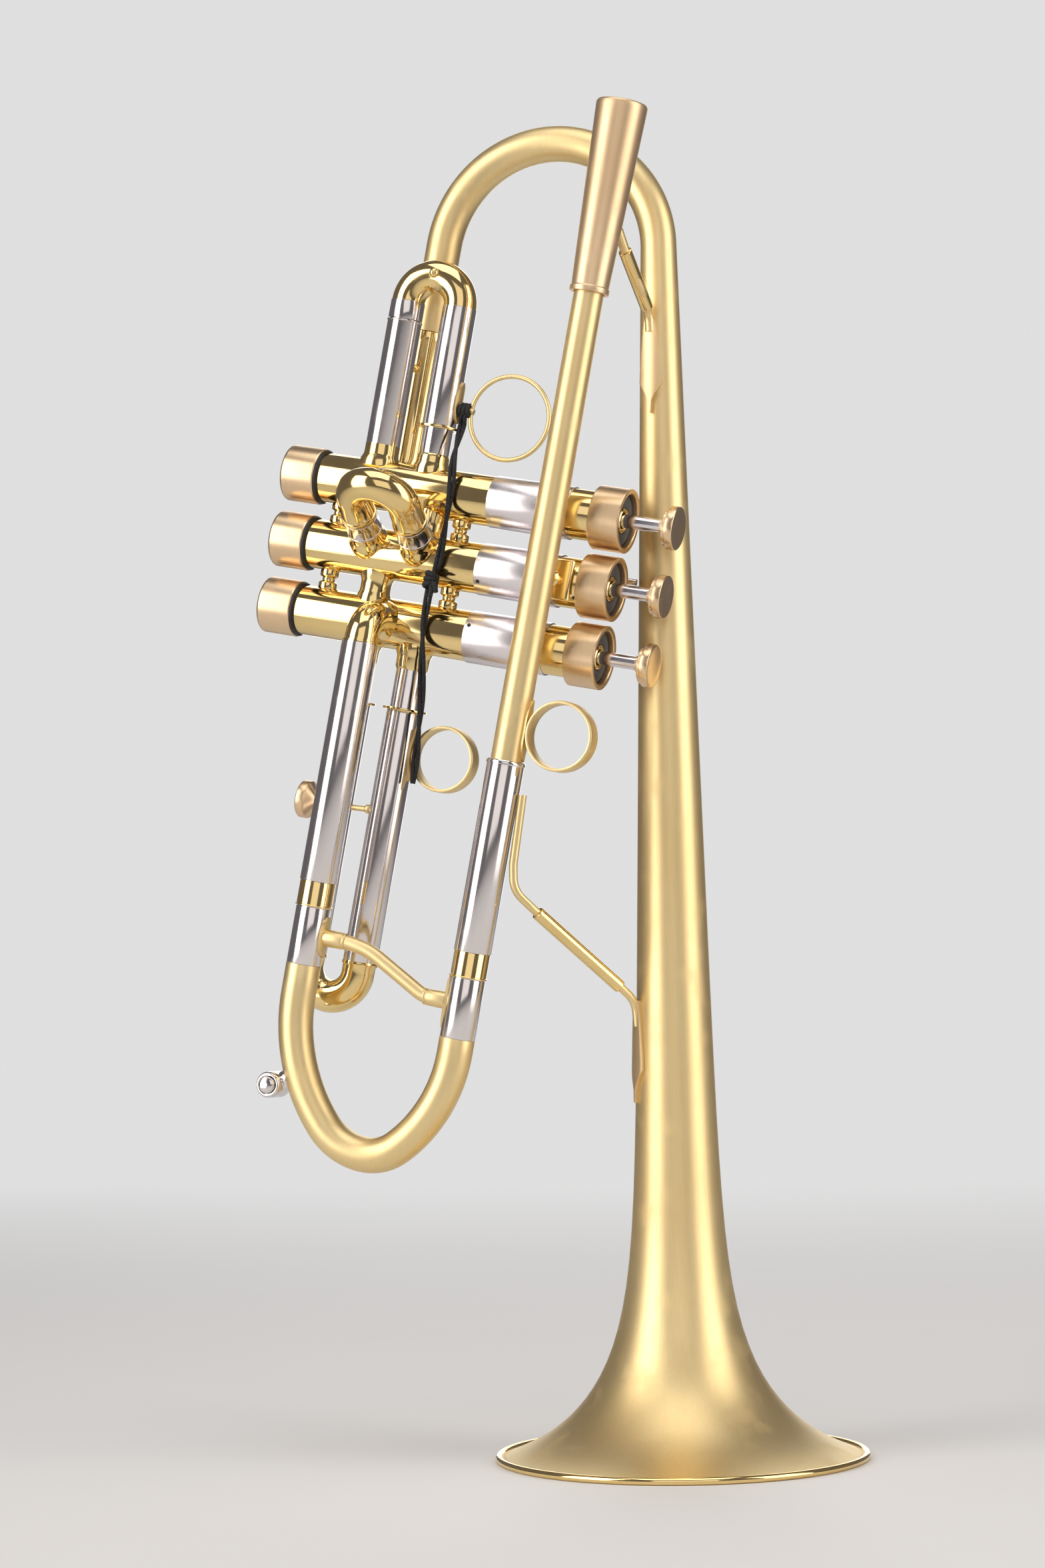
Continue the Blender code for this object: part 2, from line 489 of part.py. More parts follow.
def make_main_slide(frame, mats):
    pull = empty("main_slide_axis", (LEG_X, FRONT_PLANE, 0), frame)
    low, high = vec(-LEG_X, FRONT_PLANE, 0), vec(LEG_X, FRONT_PLANE, 0)
    up, down = Z_AXIS, -Z_AXIS
    left_middle = vec(BOW_TIP.x, FRONT_PLANE, -160.0)
    right_middle = vec(BOW_TIP.x, FRONT_PLANE, -170.0)
    bow = quarter(left_middle, low - vec(BOW_TIP.x, FRONT_PLANE, 0), BOW_TIP - left_middle, 7)
    bow += quarter(right_middle, BOW_TIP - right_middle, high - vec(BOW_TIP.x, FRONT_PLANE, 0), 7)[1:]
    low_end, high_end = low + up * -66.0, high + up * -90.0
    low_joint, high_joint = low + up * MAIN_LOW_JOINT, high + up * MAIN_HIGH_JOINT
    low_bow, high_bow = low + up * MAIN_LOW_BOW, high + up * MAIN_HIGH_BOW
    outer = wall([(low_end, down), (low_joint, down)], Y_AXIS, LEG)
    outer += wall([(low_joint, down), (low_bow, down)], Y_AXIS, FERRULE)
    outer += wall([(low_bow, down), *bow, (high_bow, up)], Y_AXIS, BOW_TUBE)
    outer += wall([(high_bow, up), (high_joint, up)], Y_AXIS, FERRULE)
    outer += wall([(high_joint, up), (high_end, up)], Y_AXIS, LEG)
    bore = wall([(low_end, down), *bow, (high_end, up)], Y_AXIS, LEG_BORE)
    whole = skin("main_slide_bow", outer + bore[::-1], SMALL_ROUND, True)
    put(whole, frame, mats["satin_brass"], pull)

    left_face, right_face = -LEG_X + FERRULE + GAP, LEG_X - FERRULE - GAP
    route = [(left_face, -139.2), (left_face + 7.5, -139.2), (-7.0, -140.6), (5.5, -147.0), (14.5, -151.6),
             (right_face - 7.5, -152.4), (right_face, -152.4)]
    points = smooth([vec(x, FRONT_PLANE, z) for x, z in route], 3)
    radii = [6.0, 6.0] + [2.6] * (len(points) - 4) + [6.0, 6.0]
    points[1] = points[0] + X_AXIS * 0.9
    points[-2] = points[-1] - X_AXIS * 0.9
    points.insert(2, points[1] + X_AXIS * 0.1)
    points.insert(-2, points[-2] - X_AXIS * 0.1)
    radii = radii[:2] + [2.6] + radii[2:-2] + [2.6] + radii[-2:]
    put(wire("main_slide_brace", points, radii, 3), frame, mats["satin_brass"], pull)

    key_base = vec(-34.4, FRONT_PLANE, -194.0)
    barrel = [(5.0, 4.6), (-6.0, 4.6), (-6.0, 3.4), (3.6, 3.4)]
    barrel = turned("water_key_barrel", key_base, Y_AXIS, X_AXIS, barrel, ROUND)
    put(barrel, frame, mats["nickel_silver"], pull)
    press = empty("water_key_axis", key_base, frame)
    plunger = [(-7.6, 2.4), (-7.0, 3.0), (0.6, 3.0)]
    button = turned("water_key_button", key_base, Y_AXIS, X_AXIS, plunger, 12)
    put(button, frame, mats["nickel_silver"], press)


# Braces and cord ----------------------------------------------------------------------------

def on_bell(turn, z, stand_off):
    """A point stand_off above the bell's surface; turn goes round from -Y towards +X."""
    radius = bell_radius(z) + stand_off
    return vec(radius * sin(turn), -radius * cos(turn), z)


def make_bell_braces(frame, mats):
    """Bent rods from the leadpipe side to the front of the bell, in the bell's own frame."""
    turn = radians(-7)
    upper = [vec(-3.4, -35.3, 431.0), vec(-2.6, -30.0, 424.0), vec(-1.0, -18.0, 413.0)]
    upper += [on_bell(turn, 405.0, 3.2)]
    upper += [on_bell(turn, z, 2.0) for z in (397.0, 384.0, 371.0)]
    points = smooth(upper, 2)
    radii = [2.3] * 6 + [2.2, 1.8, 1.5, 1.5, 1.5, 1.3, 1.0]
    put(wire("upper_bell_brace", points, radii, 2), frame, mats["satin_brass"])
    turn = radians(-69)
    lower = [vec(-36.6, -45.0, 233.0), vec(-41.6, -45.0, 209.0), vec(-42.0, -44.5, 200.0),
             vec(-37.5, -41.0, 194.0), vec(-27.0, -27.0, 181.0), vec(-18.5, -13.5, 169.0)]
    lower += [on_bell(turn, 161.0, 2.6)]
    lower += [on_bell(turn, z, 2.0) for z in (151.0, 138.0, 126.0)]
    points = smooth(lower, 2)
    radii = [0.9, 1.5, 1.5, 1.6, 1.6, 1.8, 2.3, 2.3, 2.3, 2.3, 2.2, 1.8, 1.6, 1.5, 1.5, 1.5, 1.4, 1.2, 0.9]
    put(wire("lower_bell_brace", points, radii, 2), frame, mats["satin_brass"])


def make_valve_braces(frame, mats):
    face = -BARREL - GAP
    foot = box("leadpipe_valve_brace", vec(27.3, face - 1.1, -7.8), vec(39.3, face, 7.8))
    put(foot, frame, mats["polished_brass"])
    post = turned("leadpipe_valve_brace_post", vec(LEG_X, 0, 0), Y_AXIS, X_AXIS,
                  [(FRONT_PLANE + 5.6 + GAP + 0.1, 2.4), (face - 0.5, 2.4)], 12)
    join(foot, post, frame)
    route = [vec(26.0, 10.9, 4.3), vec(29.5, 13.2, 4.3), vec(41.0, 14.9, 4.3), vec(53.6, 16.0, 4.3)]
    points = smooth(route, 2)
    put(wire("valve_bell_brace", points, 1.6, 2), frame, mats["nickel_silver"])


def make_keeper_cord(frame, mats):
    """Elastic cord from the first slide's ring plate, over the valves, to the third slide's."""
    upper = [vec(-16.6, 0, 50.6), vec(-15.6, -4.0, 44.0), vec(-13.6, -9.6, 36.0), vec(-12.0, -10.9, 25.0),
             vec(-11.6, -11.2, 12.0), vec(-11.8, -11.2, 0.0), vec(-12.6, -11.3, -4.2)]
    knot = vec(-13.2, -11.9, -7.4)
    lower = [vec(-13.4, -11.3, -10.8), vec(-13.2, -11.2, -24.0), vec(-11.8, -10.4, -36.0),
             vec(-10.4, -8.0, -50.0), vec(-10.0, -6.2, -62.0), vec(-9.6, -5.4, -72.0),
             vec(-9.2, -5.3, -80.0)]
    put(wire("keeper_cord_upper", smooth(upper, 2), 1.3, 2), frame, mats["black_elastic"])
    bulge = [(-2.6, 1.4), (-1.2, 2.4), (1.2, 2.4), (2.6, 1.4)]
    put(turned("keeper_cord_knot", knot, Z_AXIS, X_AXIS, bulge, 10), frame, mats["black_elastic"])
    put(wire("keeper_cord_lower", smooth(lower, 2), 1.3, 2), frame, mats["black_elastic"])


def main():
    clear_scene()
    mats = make_materials()
    bell_frame = empty("bell_frame", BELL_AXIS)
    horn = empty("horn_frame", HORN_ORIGIN, tilt=HORN_TILT)
    make_bell(bell_frame, mats)
    make_bell_port(horn, mats)
    make_leadpipe(horn, mats)
    surface = LEG_X + 5.6 + GAP
    finger_ring("leadpipe_ring", vec(surface + 12.7, FRONT_PLANE, -54.7), 12.4, 1.2, 7.0,
                (surface, surface + 0.9, 3.0, -65.7, -43.7), mats, horn)
    for number in VALVE_Z:
        make_valve(number, horn, mats)
    make_valve_links(horn, mats)
    make_first_slide(horn, mats)
    make_second_slide(horn, mats)
    make_third_slide(horn, mats)
    make_main_slide(horn, mats)
    make_bell_braces(bell_frame, mats)
    make_valve_braces(horn, mats)
    make_keeper_cord(horn, mats)
    bpy.context.view_layer.update()


main()
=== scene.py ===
from math import cos, exp, pi, radians, sin, tan

import bmesh
import bpy
from mathutils import Matrix, Vector


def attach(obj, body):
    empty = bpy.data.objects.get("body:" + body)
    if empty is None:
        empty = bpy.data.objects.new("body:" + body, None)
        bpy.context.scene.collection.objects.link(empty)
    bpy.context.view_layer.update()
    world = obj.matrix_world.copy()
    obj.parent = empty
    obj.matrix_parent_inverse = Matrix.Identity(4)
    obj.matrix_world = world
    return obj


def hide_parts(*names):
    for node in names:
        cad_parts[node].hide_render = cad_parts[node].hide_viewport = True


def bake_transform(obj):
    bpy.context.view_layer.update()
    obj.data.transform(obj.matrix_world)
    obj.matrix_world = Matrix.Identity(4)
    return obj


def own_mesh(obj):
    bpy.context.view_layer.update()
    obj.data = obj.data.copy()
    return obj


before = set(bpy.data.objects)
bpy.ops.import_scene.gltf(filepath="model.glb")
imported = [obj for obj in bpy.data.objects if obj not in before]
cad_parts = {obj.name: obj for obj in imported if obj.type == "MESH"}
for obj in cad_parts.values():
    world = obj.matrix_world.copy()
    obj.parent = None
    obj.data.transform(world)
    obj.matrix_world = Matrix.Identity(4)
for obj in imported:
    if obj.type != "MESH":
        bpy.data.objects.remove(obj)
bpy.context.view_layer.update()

# Lengths are in millimetres on two benches. The bell bench has +Z up the bell's axis. The horn
# bench leans by HORN_TILT: X runs up the valves, Z back to the player, its origin on valve 2.
MM = 0.001
X, Y, Z = Vector((1, 0, 0)), Vector((0, 1, 0)), Vector((0, 0, 1))
HORN_TILT = radians(11.74)
BELL_PLACE = Vector((40.9, 0.0, 0.0))
VALVE_2_FROM_BELL = Vector((-62.3, -22.5, 316.4))
BELL_BENCH = Matrix.Translation(BELL_PLACE * MM)
HORN_BENCH = Matrix.Translation((BELL_PLACE + VALVE_2_FROM_BELL) * MM) @ Matrix.Rotation(HORN_TILT, 4, "Y")

# Bell
STEM_TOP, BOW_RADIUS, BELL_TUBE, BELL_WALL = 432.3, 42.0, 6.5, 0.9
STEM_TAPER = 0.0245
BEAD, BEAD_RADIUS = 1.3, 64.7
TAIL_END = 84.8

# Planes and legs of the horn
FRONT, BACK, LEG_X = -22.5, 22.5, 31.3
VALVE_Z = {1: 24.5, 2: 0.0, 3: -24.5}
CASING, BARREL, COLLAR, CASING_BORE = 9.1, 9.5, 8.95, 8.5
CASING_LOW, BARREL_LOW, BARREL_TOP, CASING_TOP = -66.5, 1.3, 31.5, 41.9
LOW_CAP_END, CAP_FLOOR, CAP_TOP = -80.4, 48.0, 52.5
BUTTON_LOW, BUTTON_TOP = 66.8, 71.3
CAP, LOW_CAP, BUTTON, PISTON, STEM = 11.5, 10.3, 7.8, 8.15, 2.5
FELT_TOP, CUT_LOW, CUT_TOP, CUT = 50.4, -66.0, 40.0, 8.7
CORD_GAUGE, RING_NECK = 0.75, 55.6
THIRD_BEND, THIRD_END = -146.6, -147.0
SLEEVE, BAND, FERRULE, BOW_TUBE, INNER_LEG = 6.6, 6.35, 6.2, 6.25, 5.9
SLIDE_SLEEVE, SLIDE_TUBE, CROOK_TUBE = 6.25, 5.45, 6.0
LIP, LIP_RADIUS = 1.0, 8.0
LOW_JOINT, HIGH_JOINT, LOW_FERRULE_END, HIGH_FERRULE_END = -129.3, -143.3, -149.8, -164.5
FIRST_LOW, FIRST_HIGH, FIRST_LIP, FIRST_LINE, FIRST_CROOK = -46.0, -25.5, 47.5, 85.2, 92.0
SECOND_LOW, SECOND_HIGH, SECOND_LINE, SECOND_CROOK = -42.3, -22.3, 21.5, 30.5
SECOND_LEAN = radians(32)
THIRD_LOW, THIRD_HIGH, THIRD_LIP, THIRD_CROOK = -39.8, -19.5, -54.0, -151.0


def vec(x, y, z):
    return Vector((x, y, z))


def bell_radius(z):
    """Outer radius of the bell at height z: a long taper with a flare at the mouth."""
    return BELL_TUBE + STEM_TAPER * (STEM_TOP - z) + 42.0 * exp(-z / 23.5) + 8.7 * exp(-z / 6.0)


def on_bell(turn, z, stand_off=0.0):
    """A point above the bell's surface; turn goes round from -Y towards +X."""
    radius = bell_radius(z) + stand_off
    return vec(radius * sin(turn), -radius * cos(turn), z)


# Camera -------------------------------------------------------------------------------------

def set_camera():
    azimuth, tilt, roll = radians(20.33), radians(3.83), radians(-0.98)
    forward = vec(-sin(azimuth) * cos(tilt), cos(azimuth) * cos(tilt), sin(tilt))
    level = forward.cross(Z).normalized()
    above = level.cross(forward)
    right = level * cos(roll) + above * sin(roll)
    up = above * cos(roll) - level * sin(roll)
    lens = bpy.data.cameras.new("studio_camera")
    lens.lens, lens.sensor_width, lens.clip_start = 74.71, 36.0, 0.05
    camera = bpy.data.objects.new("studio_camera", lens)
    bpy.context.scene.collection.objects.link(camera)
    turn = Matrix((right, up, -forward)).transposed().to_4x4()
    camera.matrix_world = Matrix.Translation(vec(394.36, -1104.90, 161.23) * MM) @ turn
    bpy.context.scene.camera = camera


# Finishes -----------------------------------------------------------------------------------

class Value:
    """One output of a finish's nodes, with arithmetic."""

    def __init__(self, finish, socket):
        self.finish, self.socket = finish, socket

    def sum(self, operation, first, second):
        return self.finish.node("ShaderNodeMath", {"operation": operation}, {0: first, 1: second})

    def __add__(self, other):
        return self.sum("ADD", self, other)

    def __radd__(self, other):
        return self.sum("ADD", other, self)

    def __sub__(self, other):
        return self.sum("SUBTRACT", self, other)

    def __rsub__(self, other):
        return self.sum("SUBTRACT", other, self)

    def __mul__(self, other):
        return self.sum("MULTIPLY", self, other)

    def __rmul__(self, other):
        return self.sum("MULTIPLY", other, self)


class Finish:
    """A procedural finish, its texture lines running along the horn's tubes."""

    def __init__(self, name):
        self.material = bpy.data.materials.new(name)
        self.material.use_nodes = True
        self.tree = self.material.node_tree
        self.shader = self.tree.nodes["Principled BSDF"]
        self.place = self.node("ShaderNodeTexCoord", output="Object")

    def node(self, kind, settings=None, inputs=None, output=0):
        made = self.tree.nodes.new(kind)
        for key, value in (settings or {}).items():
            if key == "stops":
                first, last = made.color_ramp.elements
                (first.position, first.color), (last.position, last.color) = value[0], value[-1]
                for position, colour in value[1:-1]:
                    made.color_ramp.elements.new(position).color = colour
            else:
                setattr(made, key, value)
        for key, value in (inputs or {}).items():
            self.feed(made.inputs[key], value)
        return Value(self, made.outputs[output])

    def feed(self, socket, value):
        if isinstance(value, Value):
            self.tree.links.new(value.socket, socket)
        else:
            socket.default_value = value

    def set(self, **sockets):
        for name, value in sockets.items():
            self.feed(self.shader.inputs[name.replace("_", " ")], value)
        return self

    def mix(self, share, first, second):
        return self.node("ShaderNodeMix", {"data_type": "RGBA"}, {0: share, 6: first, 7: second}, 2)

    def noise(self, scale, detail=3.0, place=None):
        return self.node("ShaderNodeTexNoise", None, {
            "Vector": place or self.place, "Scale": scale, "Detail": detail})

    def range(self, value, low, high, to_low=0.0, to_high=1.0):
        return self.node("ShaderNodeMapRange", None, {
            0: value, 1: low, 2: high, 3: to_low, 4: to_high})

    def lines(self, across, along, tilt=HORN_TILT):
        """Fine lines along the tubes: spacing across them and length along them."""
        drawn = self.node("ShaderNodeMapping", {"vector_type": "TEXTURE"}, {
            "Vector": self.place, "Rotation": (0.0, tilt, 0.0), "Scale": (across, across, along)})
        return self.noise(1.0, 4.0, drawn)

    def bump(self, height, strength, depth):
        return self.node("ShaderNodeBump", None, {
            "Strength": strength, "Distance": depth, "Height": height})


def metal(name, pale, deep, rough, grain, tilt=HORN_TILT, spread=0.5, smudge=0.08):
    """Lacquered or plated metal: faint drawing lines, cloudy tone and handling marks."""
    finish = Finish(name)
    fine = finish.lines(0.00035, 0.02, tilt)
    coarse = finish.lines(0.0012, 0.05, tilt)
    cloud = finish.noise(26.0, 4.0)
    marks = finish.range(finish.noise(90.0, 6.0), 0.55, 0.72)
    tone = finish.range(cloud * 0.6 + coarse * 0.25 + fine * 0.15, 0.35, 0.65)
    colour = finish.mix(tone * spread, (*pale, 1.0), (*deep, 1.0))
    roughness = rough + (fine - 0.5) * (grain * 0.25) + (cloud - 0.5) * 0.06 + marks * smudge
    normal = finish.bump(fine * 0.7 + coarse * 0.3, grain, 0.00006)
    finish.set(Base_Color=colour, Roughness=roughness, Metallic=1.0, Normal=normal)
    return finish.material


def felt():
    finish = Finish("felt_black")
    pile = finish.noise(2600.0, 5.0)
    tone = finish.mix(finish.range(pile, 0.3, 0.7), (0.010, 0.009, 0.010, 1.0), (0.055, 0.050, 0.050, 1.0))
    finish.set(Base_Color=tone, Roughness=0.95, Normal=finish.bump(pile, 0.6, 0.0003))
    finish.set(Sheen_Weight=0.4, Sheen_Roughness=0.5)
    return finish.material


def elastic():
    finish = Finish("elastic_black")
    braid = finish.node("ShaderNodeTexVoronoi", None, {"Vector": finish.place, "Scale": 1500.0})
    fuzz = finish.noise(3000.0, 3.0)
    tone = finish.mix(finish.range(braid, 0.1, 0.6), (0.030, 0.030, 0.034, 1.0), (0.006, 0.006, 0.007, 1.0))
    finish.set(Base_Color=tone, Roughness=0.62 + fuzz * 0.2, Normal=finish.bump(1.0 - braid, 0.5, 0.0003))
    return finish.material


# Black rubber for the valve cap seals. The same dark colour is also painted shade on the vent hole discs,
# standing for the dark inside of each hole.
def rubber_and_hole_shade():
    finish = Finish("rubber_and_hole_shade_black")
    bloom = finish.noise(300.0, 4.0)
    tone = finish.mix(bloom, (0.008, 0.008, 0.009, 1.0), (0.022, 0.021, 0.021, 1.0))
    finish.set(Base_Color=tone, Roughness=0.35 + bloom * 0.2, Normal=finish.bump(bloom, 0.1, 0.0001))
    return finish.material


def make_finishes():
    """Each finish with the record's slot that it stands for."""
    satin, satin_deep = (0.88, 0.70, 0.37), (0.74, 0.53, 0.24)
    tan, tan_deep = (0.84, 0.63, 0.40), (0.66, 0.44, 0.24)
    foot, foot_deep = (0.87, 0.67, 0.40), (0.72, 0.50, 0.25)
    plate, plate_deep = (0.79, 0.74, 0.75), (0.70, 0.64, 0.65)
    return {
        "bell_satin": (metal("bell_satin", satin, satin_deep, 0.43, 0.16, 0.0), "satin_brass"),
        "satin": (metal("satin", satin, satin_deep, 0.42, 0.14), "satin_brass"),
        "button_brass": (metal("button_brass", tan, tan_deep, 0.24, 0.10), "satin_brass"),
        "copper": (metal("copper", tan, tan_deep, 0.30, 0.16), "copper_brass"),
        "receiver_tan": (metal("receiver_tan", tan, tan_deep, 0.41, 0.20), "copper_brass"),
        "foot_satin": (metal("foot_satin", foot, foot_deep, 0.46, 0.10), "satin_brass"),
        "bright": (metal("bright", (0.90, 0.70, 0.33), (0.78, 0.53, 0.20), 0.10, 0.04), "polished_brass"),
        "nickel": (metal("nickel", (0.79, 0.75, 0.74), (0.68, 0.63, 0.62), 0.13, 0.03), "nickel_silver"),
        "soft_nickel": (metal("soft_nickel", plate, plate_deep, 0.26, 0.05), "nickel_silver"),
        "steel": (metal("steel", (0.60, 0.60, 0.61), (0.42, 0.42, 0.43), 0.28, 0.1), "spring_steel"),
        "piston": (metal("piston", (0.80, 0.77, 0.80), (0.66, 0.62, 0.66), 0.16, 0.02), "piston_metal"),
        "felt": (felt(), "black_felt"),
        "elastic": (elastic(), "black_elastic"),
        "rubber_and_hole_shade": (rubber_and_hole_shade(), "black_elastic"),
    }


# Workshop -----------------------------------------------------------------------------------

def pick(piece=None):
    """Select one piece alone, or nothing."""
    if bpy.context.mode != "OBJECT":
        bpy.ops.object.mode_set(mode="OBJECT")
    bpy.ops.object.select_all(action="DESELECT")
    if piece:
        piece.select_set(True)
        bpy.context.view_layer.objects.active = piece
    return piece


def work_with(piece, kind, **settings):
    """Give a piece a modifier and apply it."""
    pick(piece)
    tool = piece.modifiers.new(kind.lower(), kind)
    for key, value in settings.items():
        setattr(tool, key, value)
    bpy.ops.object.modifier_apply(modifier=tool.name)
    return piece


def select_where(piece, test):
    """In edit mode, select the vertices whose place passes the test."""
    bpy.ops.mesh.select_all(action="DESELECT")
    mesh = bmesh.from_edit_mesh(piece.data)
    for vertex in mesh.verts:
        vertex.select_set(test(vertex.co))
    mesh.select_flush(True)
    bmesh.update_edit_mesh(piece.data)


class Drawn:
    """A piece drawn out of a circle, ring by ring, in a bench's millimetres."""

    def __init__(self, name, centre, axis, radius, sides=64):
        pick()
        self.centre, self.axis, self.radius = Vector(centre), Vector(axis).normalized(), radius
        turn = self.axis.to_track_quat("Z", "Y").to_euler()
        bpy.ops.mesh.primitive_circle_add(
            vertices=sides, radius=radius * MM, location=self.centre * MM, rotation=turn)
        bpy.ops.object.transform_apply(location=True, rotation=True, scale=True)
        self.piece = bpy.context.object
        self.piece.name = self.piece.data.name = name
        bpy.ops.object.mode_set(mode="EDIT")
        bpy.ops.mesh.select_all(action="SELECT")

    def size(self, radius):
        if radius and abs(radius - self.radius) > 1e-6:
            share = radius / self.radius
            bpy.ops.transform.resize(value=(share, share, share), center_override=self.centre * MM)
            self.radius = radius
        return self

    def draw(self, length, radius=None):
        step = self.axis * length
        bpy.ops.mesh.extrude_edges_move(TRANSFORM_OT_translate={"value": step * MM})
        self.centre = self.centre + step
        return self.size(radius)

    def bend(self, pivot, angle, radius, steps=16):
        """Go round a bend, right-handed about the pivot direction."""
        pivot = Vector(pivot).normalized()
        middle = self.centre + pivot.cross(self.axis) * radius
        bpy.ops.mesh.spin(steps=steps, angle=-angle, center=middle * MM, axis=pivot)
        turn = Matrix.Rotation(angle, 3, pivot)
        self.centre = middle + turn @ (self.centre - middle)
        self.axis = turn @ self.axis
        return self

    def done(self, wall=0.0, ends=True):
        """Merge and close the piece, or give an open tube its wall."""
        bpy.ops.mesh.select_all(action="SELECT")
        bpy.ops.mesh.remove_doubles(threshold=1e-6)
        if ends and not wall:
            bpy.ops.mesh.fill_holes(sides=0)
        bpy.ops.mesh.normals_make_consistent(inside=False)
        bpy.ops.object.mode_set(mode="OBJECT")
        if wall:
            work_with(self.piece, "SOLIDIFY", thickness=wall * MM, offset=-1.0, use_even_offset=True)
        return self.piece


def lathe(name, base, axis, profile, sides=64, loop=False):
    """A turned piece: profile is (distance along the axis, radius). A loop is a ring's section."""
    along, radius = profile[0]
    work = Drawn(name, base + axis * along, axis, radius, sides)
    for next_along, next_radius in profile[1:] + (profile[:1] if loop else []):
        work.draw(next_along - along, next_radius)
        along = next_along
    return work.done(ends=not loop)


def pipe(name, base, axis, start, end, outer, bore, sides=64):
    """A plain tube along an axis, between two distances from base."""
    profile = [(start, outer), (end, outer), (end, bore), (start, bore)]
    return lathe(name, base, axis, profile, sides, True)


def hoop(name, centre, axis, radius, gauge, sides=96):
    """A ring of round wire about an axis."""
    arm = axis.orthogonal().normalized()
    work = Drawn(name, centre + arm * radius, axis.cross(arm), gauge, 16)
    return work.bend(axis, 2 * pi, radius, sides).done(ends=False)


def rod(name, points, radius, corner, sides=24):
    """A bent rod through points, each corner a round bend."""
    runs = [(b - a).normalized() for a, b in zip(points, points[1:])]
    lengths = [(b - a).length for a, b in zip(points, points[1:])]
    work = Drawn(name, points[0], runs[0], radius, sides)
    used = 0.0
    for k, (run, length) in enumerate(zip(runs, lengths)):
        angle = run.angle(runs[k + 1]) if k + 1 < len(runs) else 0.0
        if angle < 0.02:
            work.draw(length - used)
            used = 0.0
            continue
        most = 0.48 * min(length, lengths[k + 1])
        around = min(corner, most / tan(angle / 2))
        trim = around * tan(angle / 2)
        work.draw(length - used - trim)
        work.bend(run.cross(runs[k + 1]), angle, around, max(4, round(angle / radians(7))))
        used = trim
    return work.done()


def ball(name, centre, radius):
    """A small ball drawn as a turned piece."""
    steps = [k * pi / 14 for k in range(1, 14)]
    profile = [(-radius * cos(a), radius * sin(a)) for a in steps]
    return lathe(name, centre, X, profile, 24)


def leaf(name, widths, length, thickness, bench, centre, along, facing, on=None):
    """A thin foot: a flat sheet given its outline row by row, laid on a tube, then thickened."""
    rows = len(widths) - 1
    pick()
    bpy.ops.mesh.primitive_grid_add(x_subdivisions=10, y_subdivisions=rows, size=1.0)
    piece = bpy.context.object
    piece.name = piece.data.name = name
    bpy.ops.object.mode_set(mode="EDIT")
    for k, width in enumerate(widths):
        height = 0.5 - k / rows
        select_where(piece, lambda place: abs(place.y - height) < 0.2 / rows)
        bpy.ops.transform.resize(value=(width * MM, 1.0, 1.0), center_override=(0.0, height, 0.0))
    bpy.ops.mesh.select_all(action="SELECT")
    bpy.ops.transform.resize(value=(1.0, length * MM, 1.0), center_override=(0.0, 0.0, 0.0))
    bpy.ops.object.mode_set(mode="OBJECT")
    down, out = -Vector(along).normalized(), Vector(facing).normalized()
    turn = Matrix((down.cross(out), down, out)).transposed().to_4x4()
    piece.matrix_world = bench @ Matrix.Translation(centre * MM) @ turn
    bpy.ops.object.transform_apply(location=True, rotation=True, scale=True)
    if on:
        work_with(piece, "SHRINKWRAP", target=on, wrap_method="NEAREST_SURFACEPOINT",
                  wrap_mode="ABOVE_SURFACE", offset=thickness * MM)
    work_with(piece, "SOLIDIFY", thickness=thickness * 1.15 * MM, offset=-1.0)
    pick(piece)
    bpy.ops.object.mode_set(mode="EDIT")
    bpy.ops.mesh.select_all(action="SELECT")
    bpy.ops.mesh.remove_doubles(threshold=1e-5)
    bpy.ops.mesh.normals_make_consistent(inside=False)
    bpy.ops.object.mode_set(mode="OBJECT")
    return piece


def again(piece, name, shift):
    """A copy of a piece with its own mesh, moved along."""
    pick(piece)
    bpy.ops.object.duplicate(linked=False)
    copy = bpy.context.object
    copy.name = copy.data.name = name
    copy.location = shift * MM
    bpy.ops.object.transform_apply(location=True, rotation=True, scale=True)
    return copy


def clear_bore(piece, *valves):
    """Cut a port's end back to the casings' inside, so that it follows their round walls."""
    for number in valves:
        cutter = lathe("bore_cutter", vec(0, 0, VALVE_Z[number]), X, [(CUT_LOW, CUT), (CUT_TOP, CUT)], 96)
        work_with(piece, "BOOLEAN", operation="DIFFERENCE", object=cutter, solver="EXACT")
        bpy.data.objects.remove(cutter, do_unlink=True)
    return piece


def settle(piece, bench, finish, body, *nodes, edge=0.0, flat=35):
    """Break the edges, put the piece from its bench into place, and give it finish and body."""
    if edge:
        work_with(piece, "BEVEL", width=edge * MM, segments=2, limit_method="ANGLE",
                  angle_limit=radians(flat), harden_normals=False)
    pick(piece)
    if bench:
        piece.matrix_world = bench
        bpy.ops.object.transform_apply(location=True, rotation=True, scale=True)
    bpy.ops.object.shade_smooth_by_angle(angle=radians(flat))
    material, slot = finishes[finish]
    piece.data.materials.clear()
    piece.data.materials.append(material)
    if body:
        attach(piece, body)
    if nodes:
        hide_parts(*nodes)
    return piece


# Keeper cord --------------------------------------------------------------------------------

def smooth(points, steps):
    """Points of a Catmull-Rom curve through points, with steps to each stretch."""
    ends = [points[0] * 2 - points[1], *points, points[-1] * 2 - points[-2]]
    curve = []
    for a, b, c, d in zip(ends, ends[1:], ends[2:], ends[3:]):
        for k in range(steps):
            t = k / steps
            curve.append(0.5 * (2 * b + (c - a) * t + (2 * a - 5 * b + 4 * c - d) * t ** 2
                                + (3 * b - a - 3 * c + d) * t ** 3))
    return curve + [points[-1]]


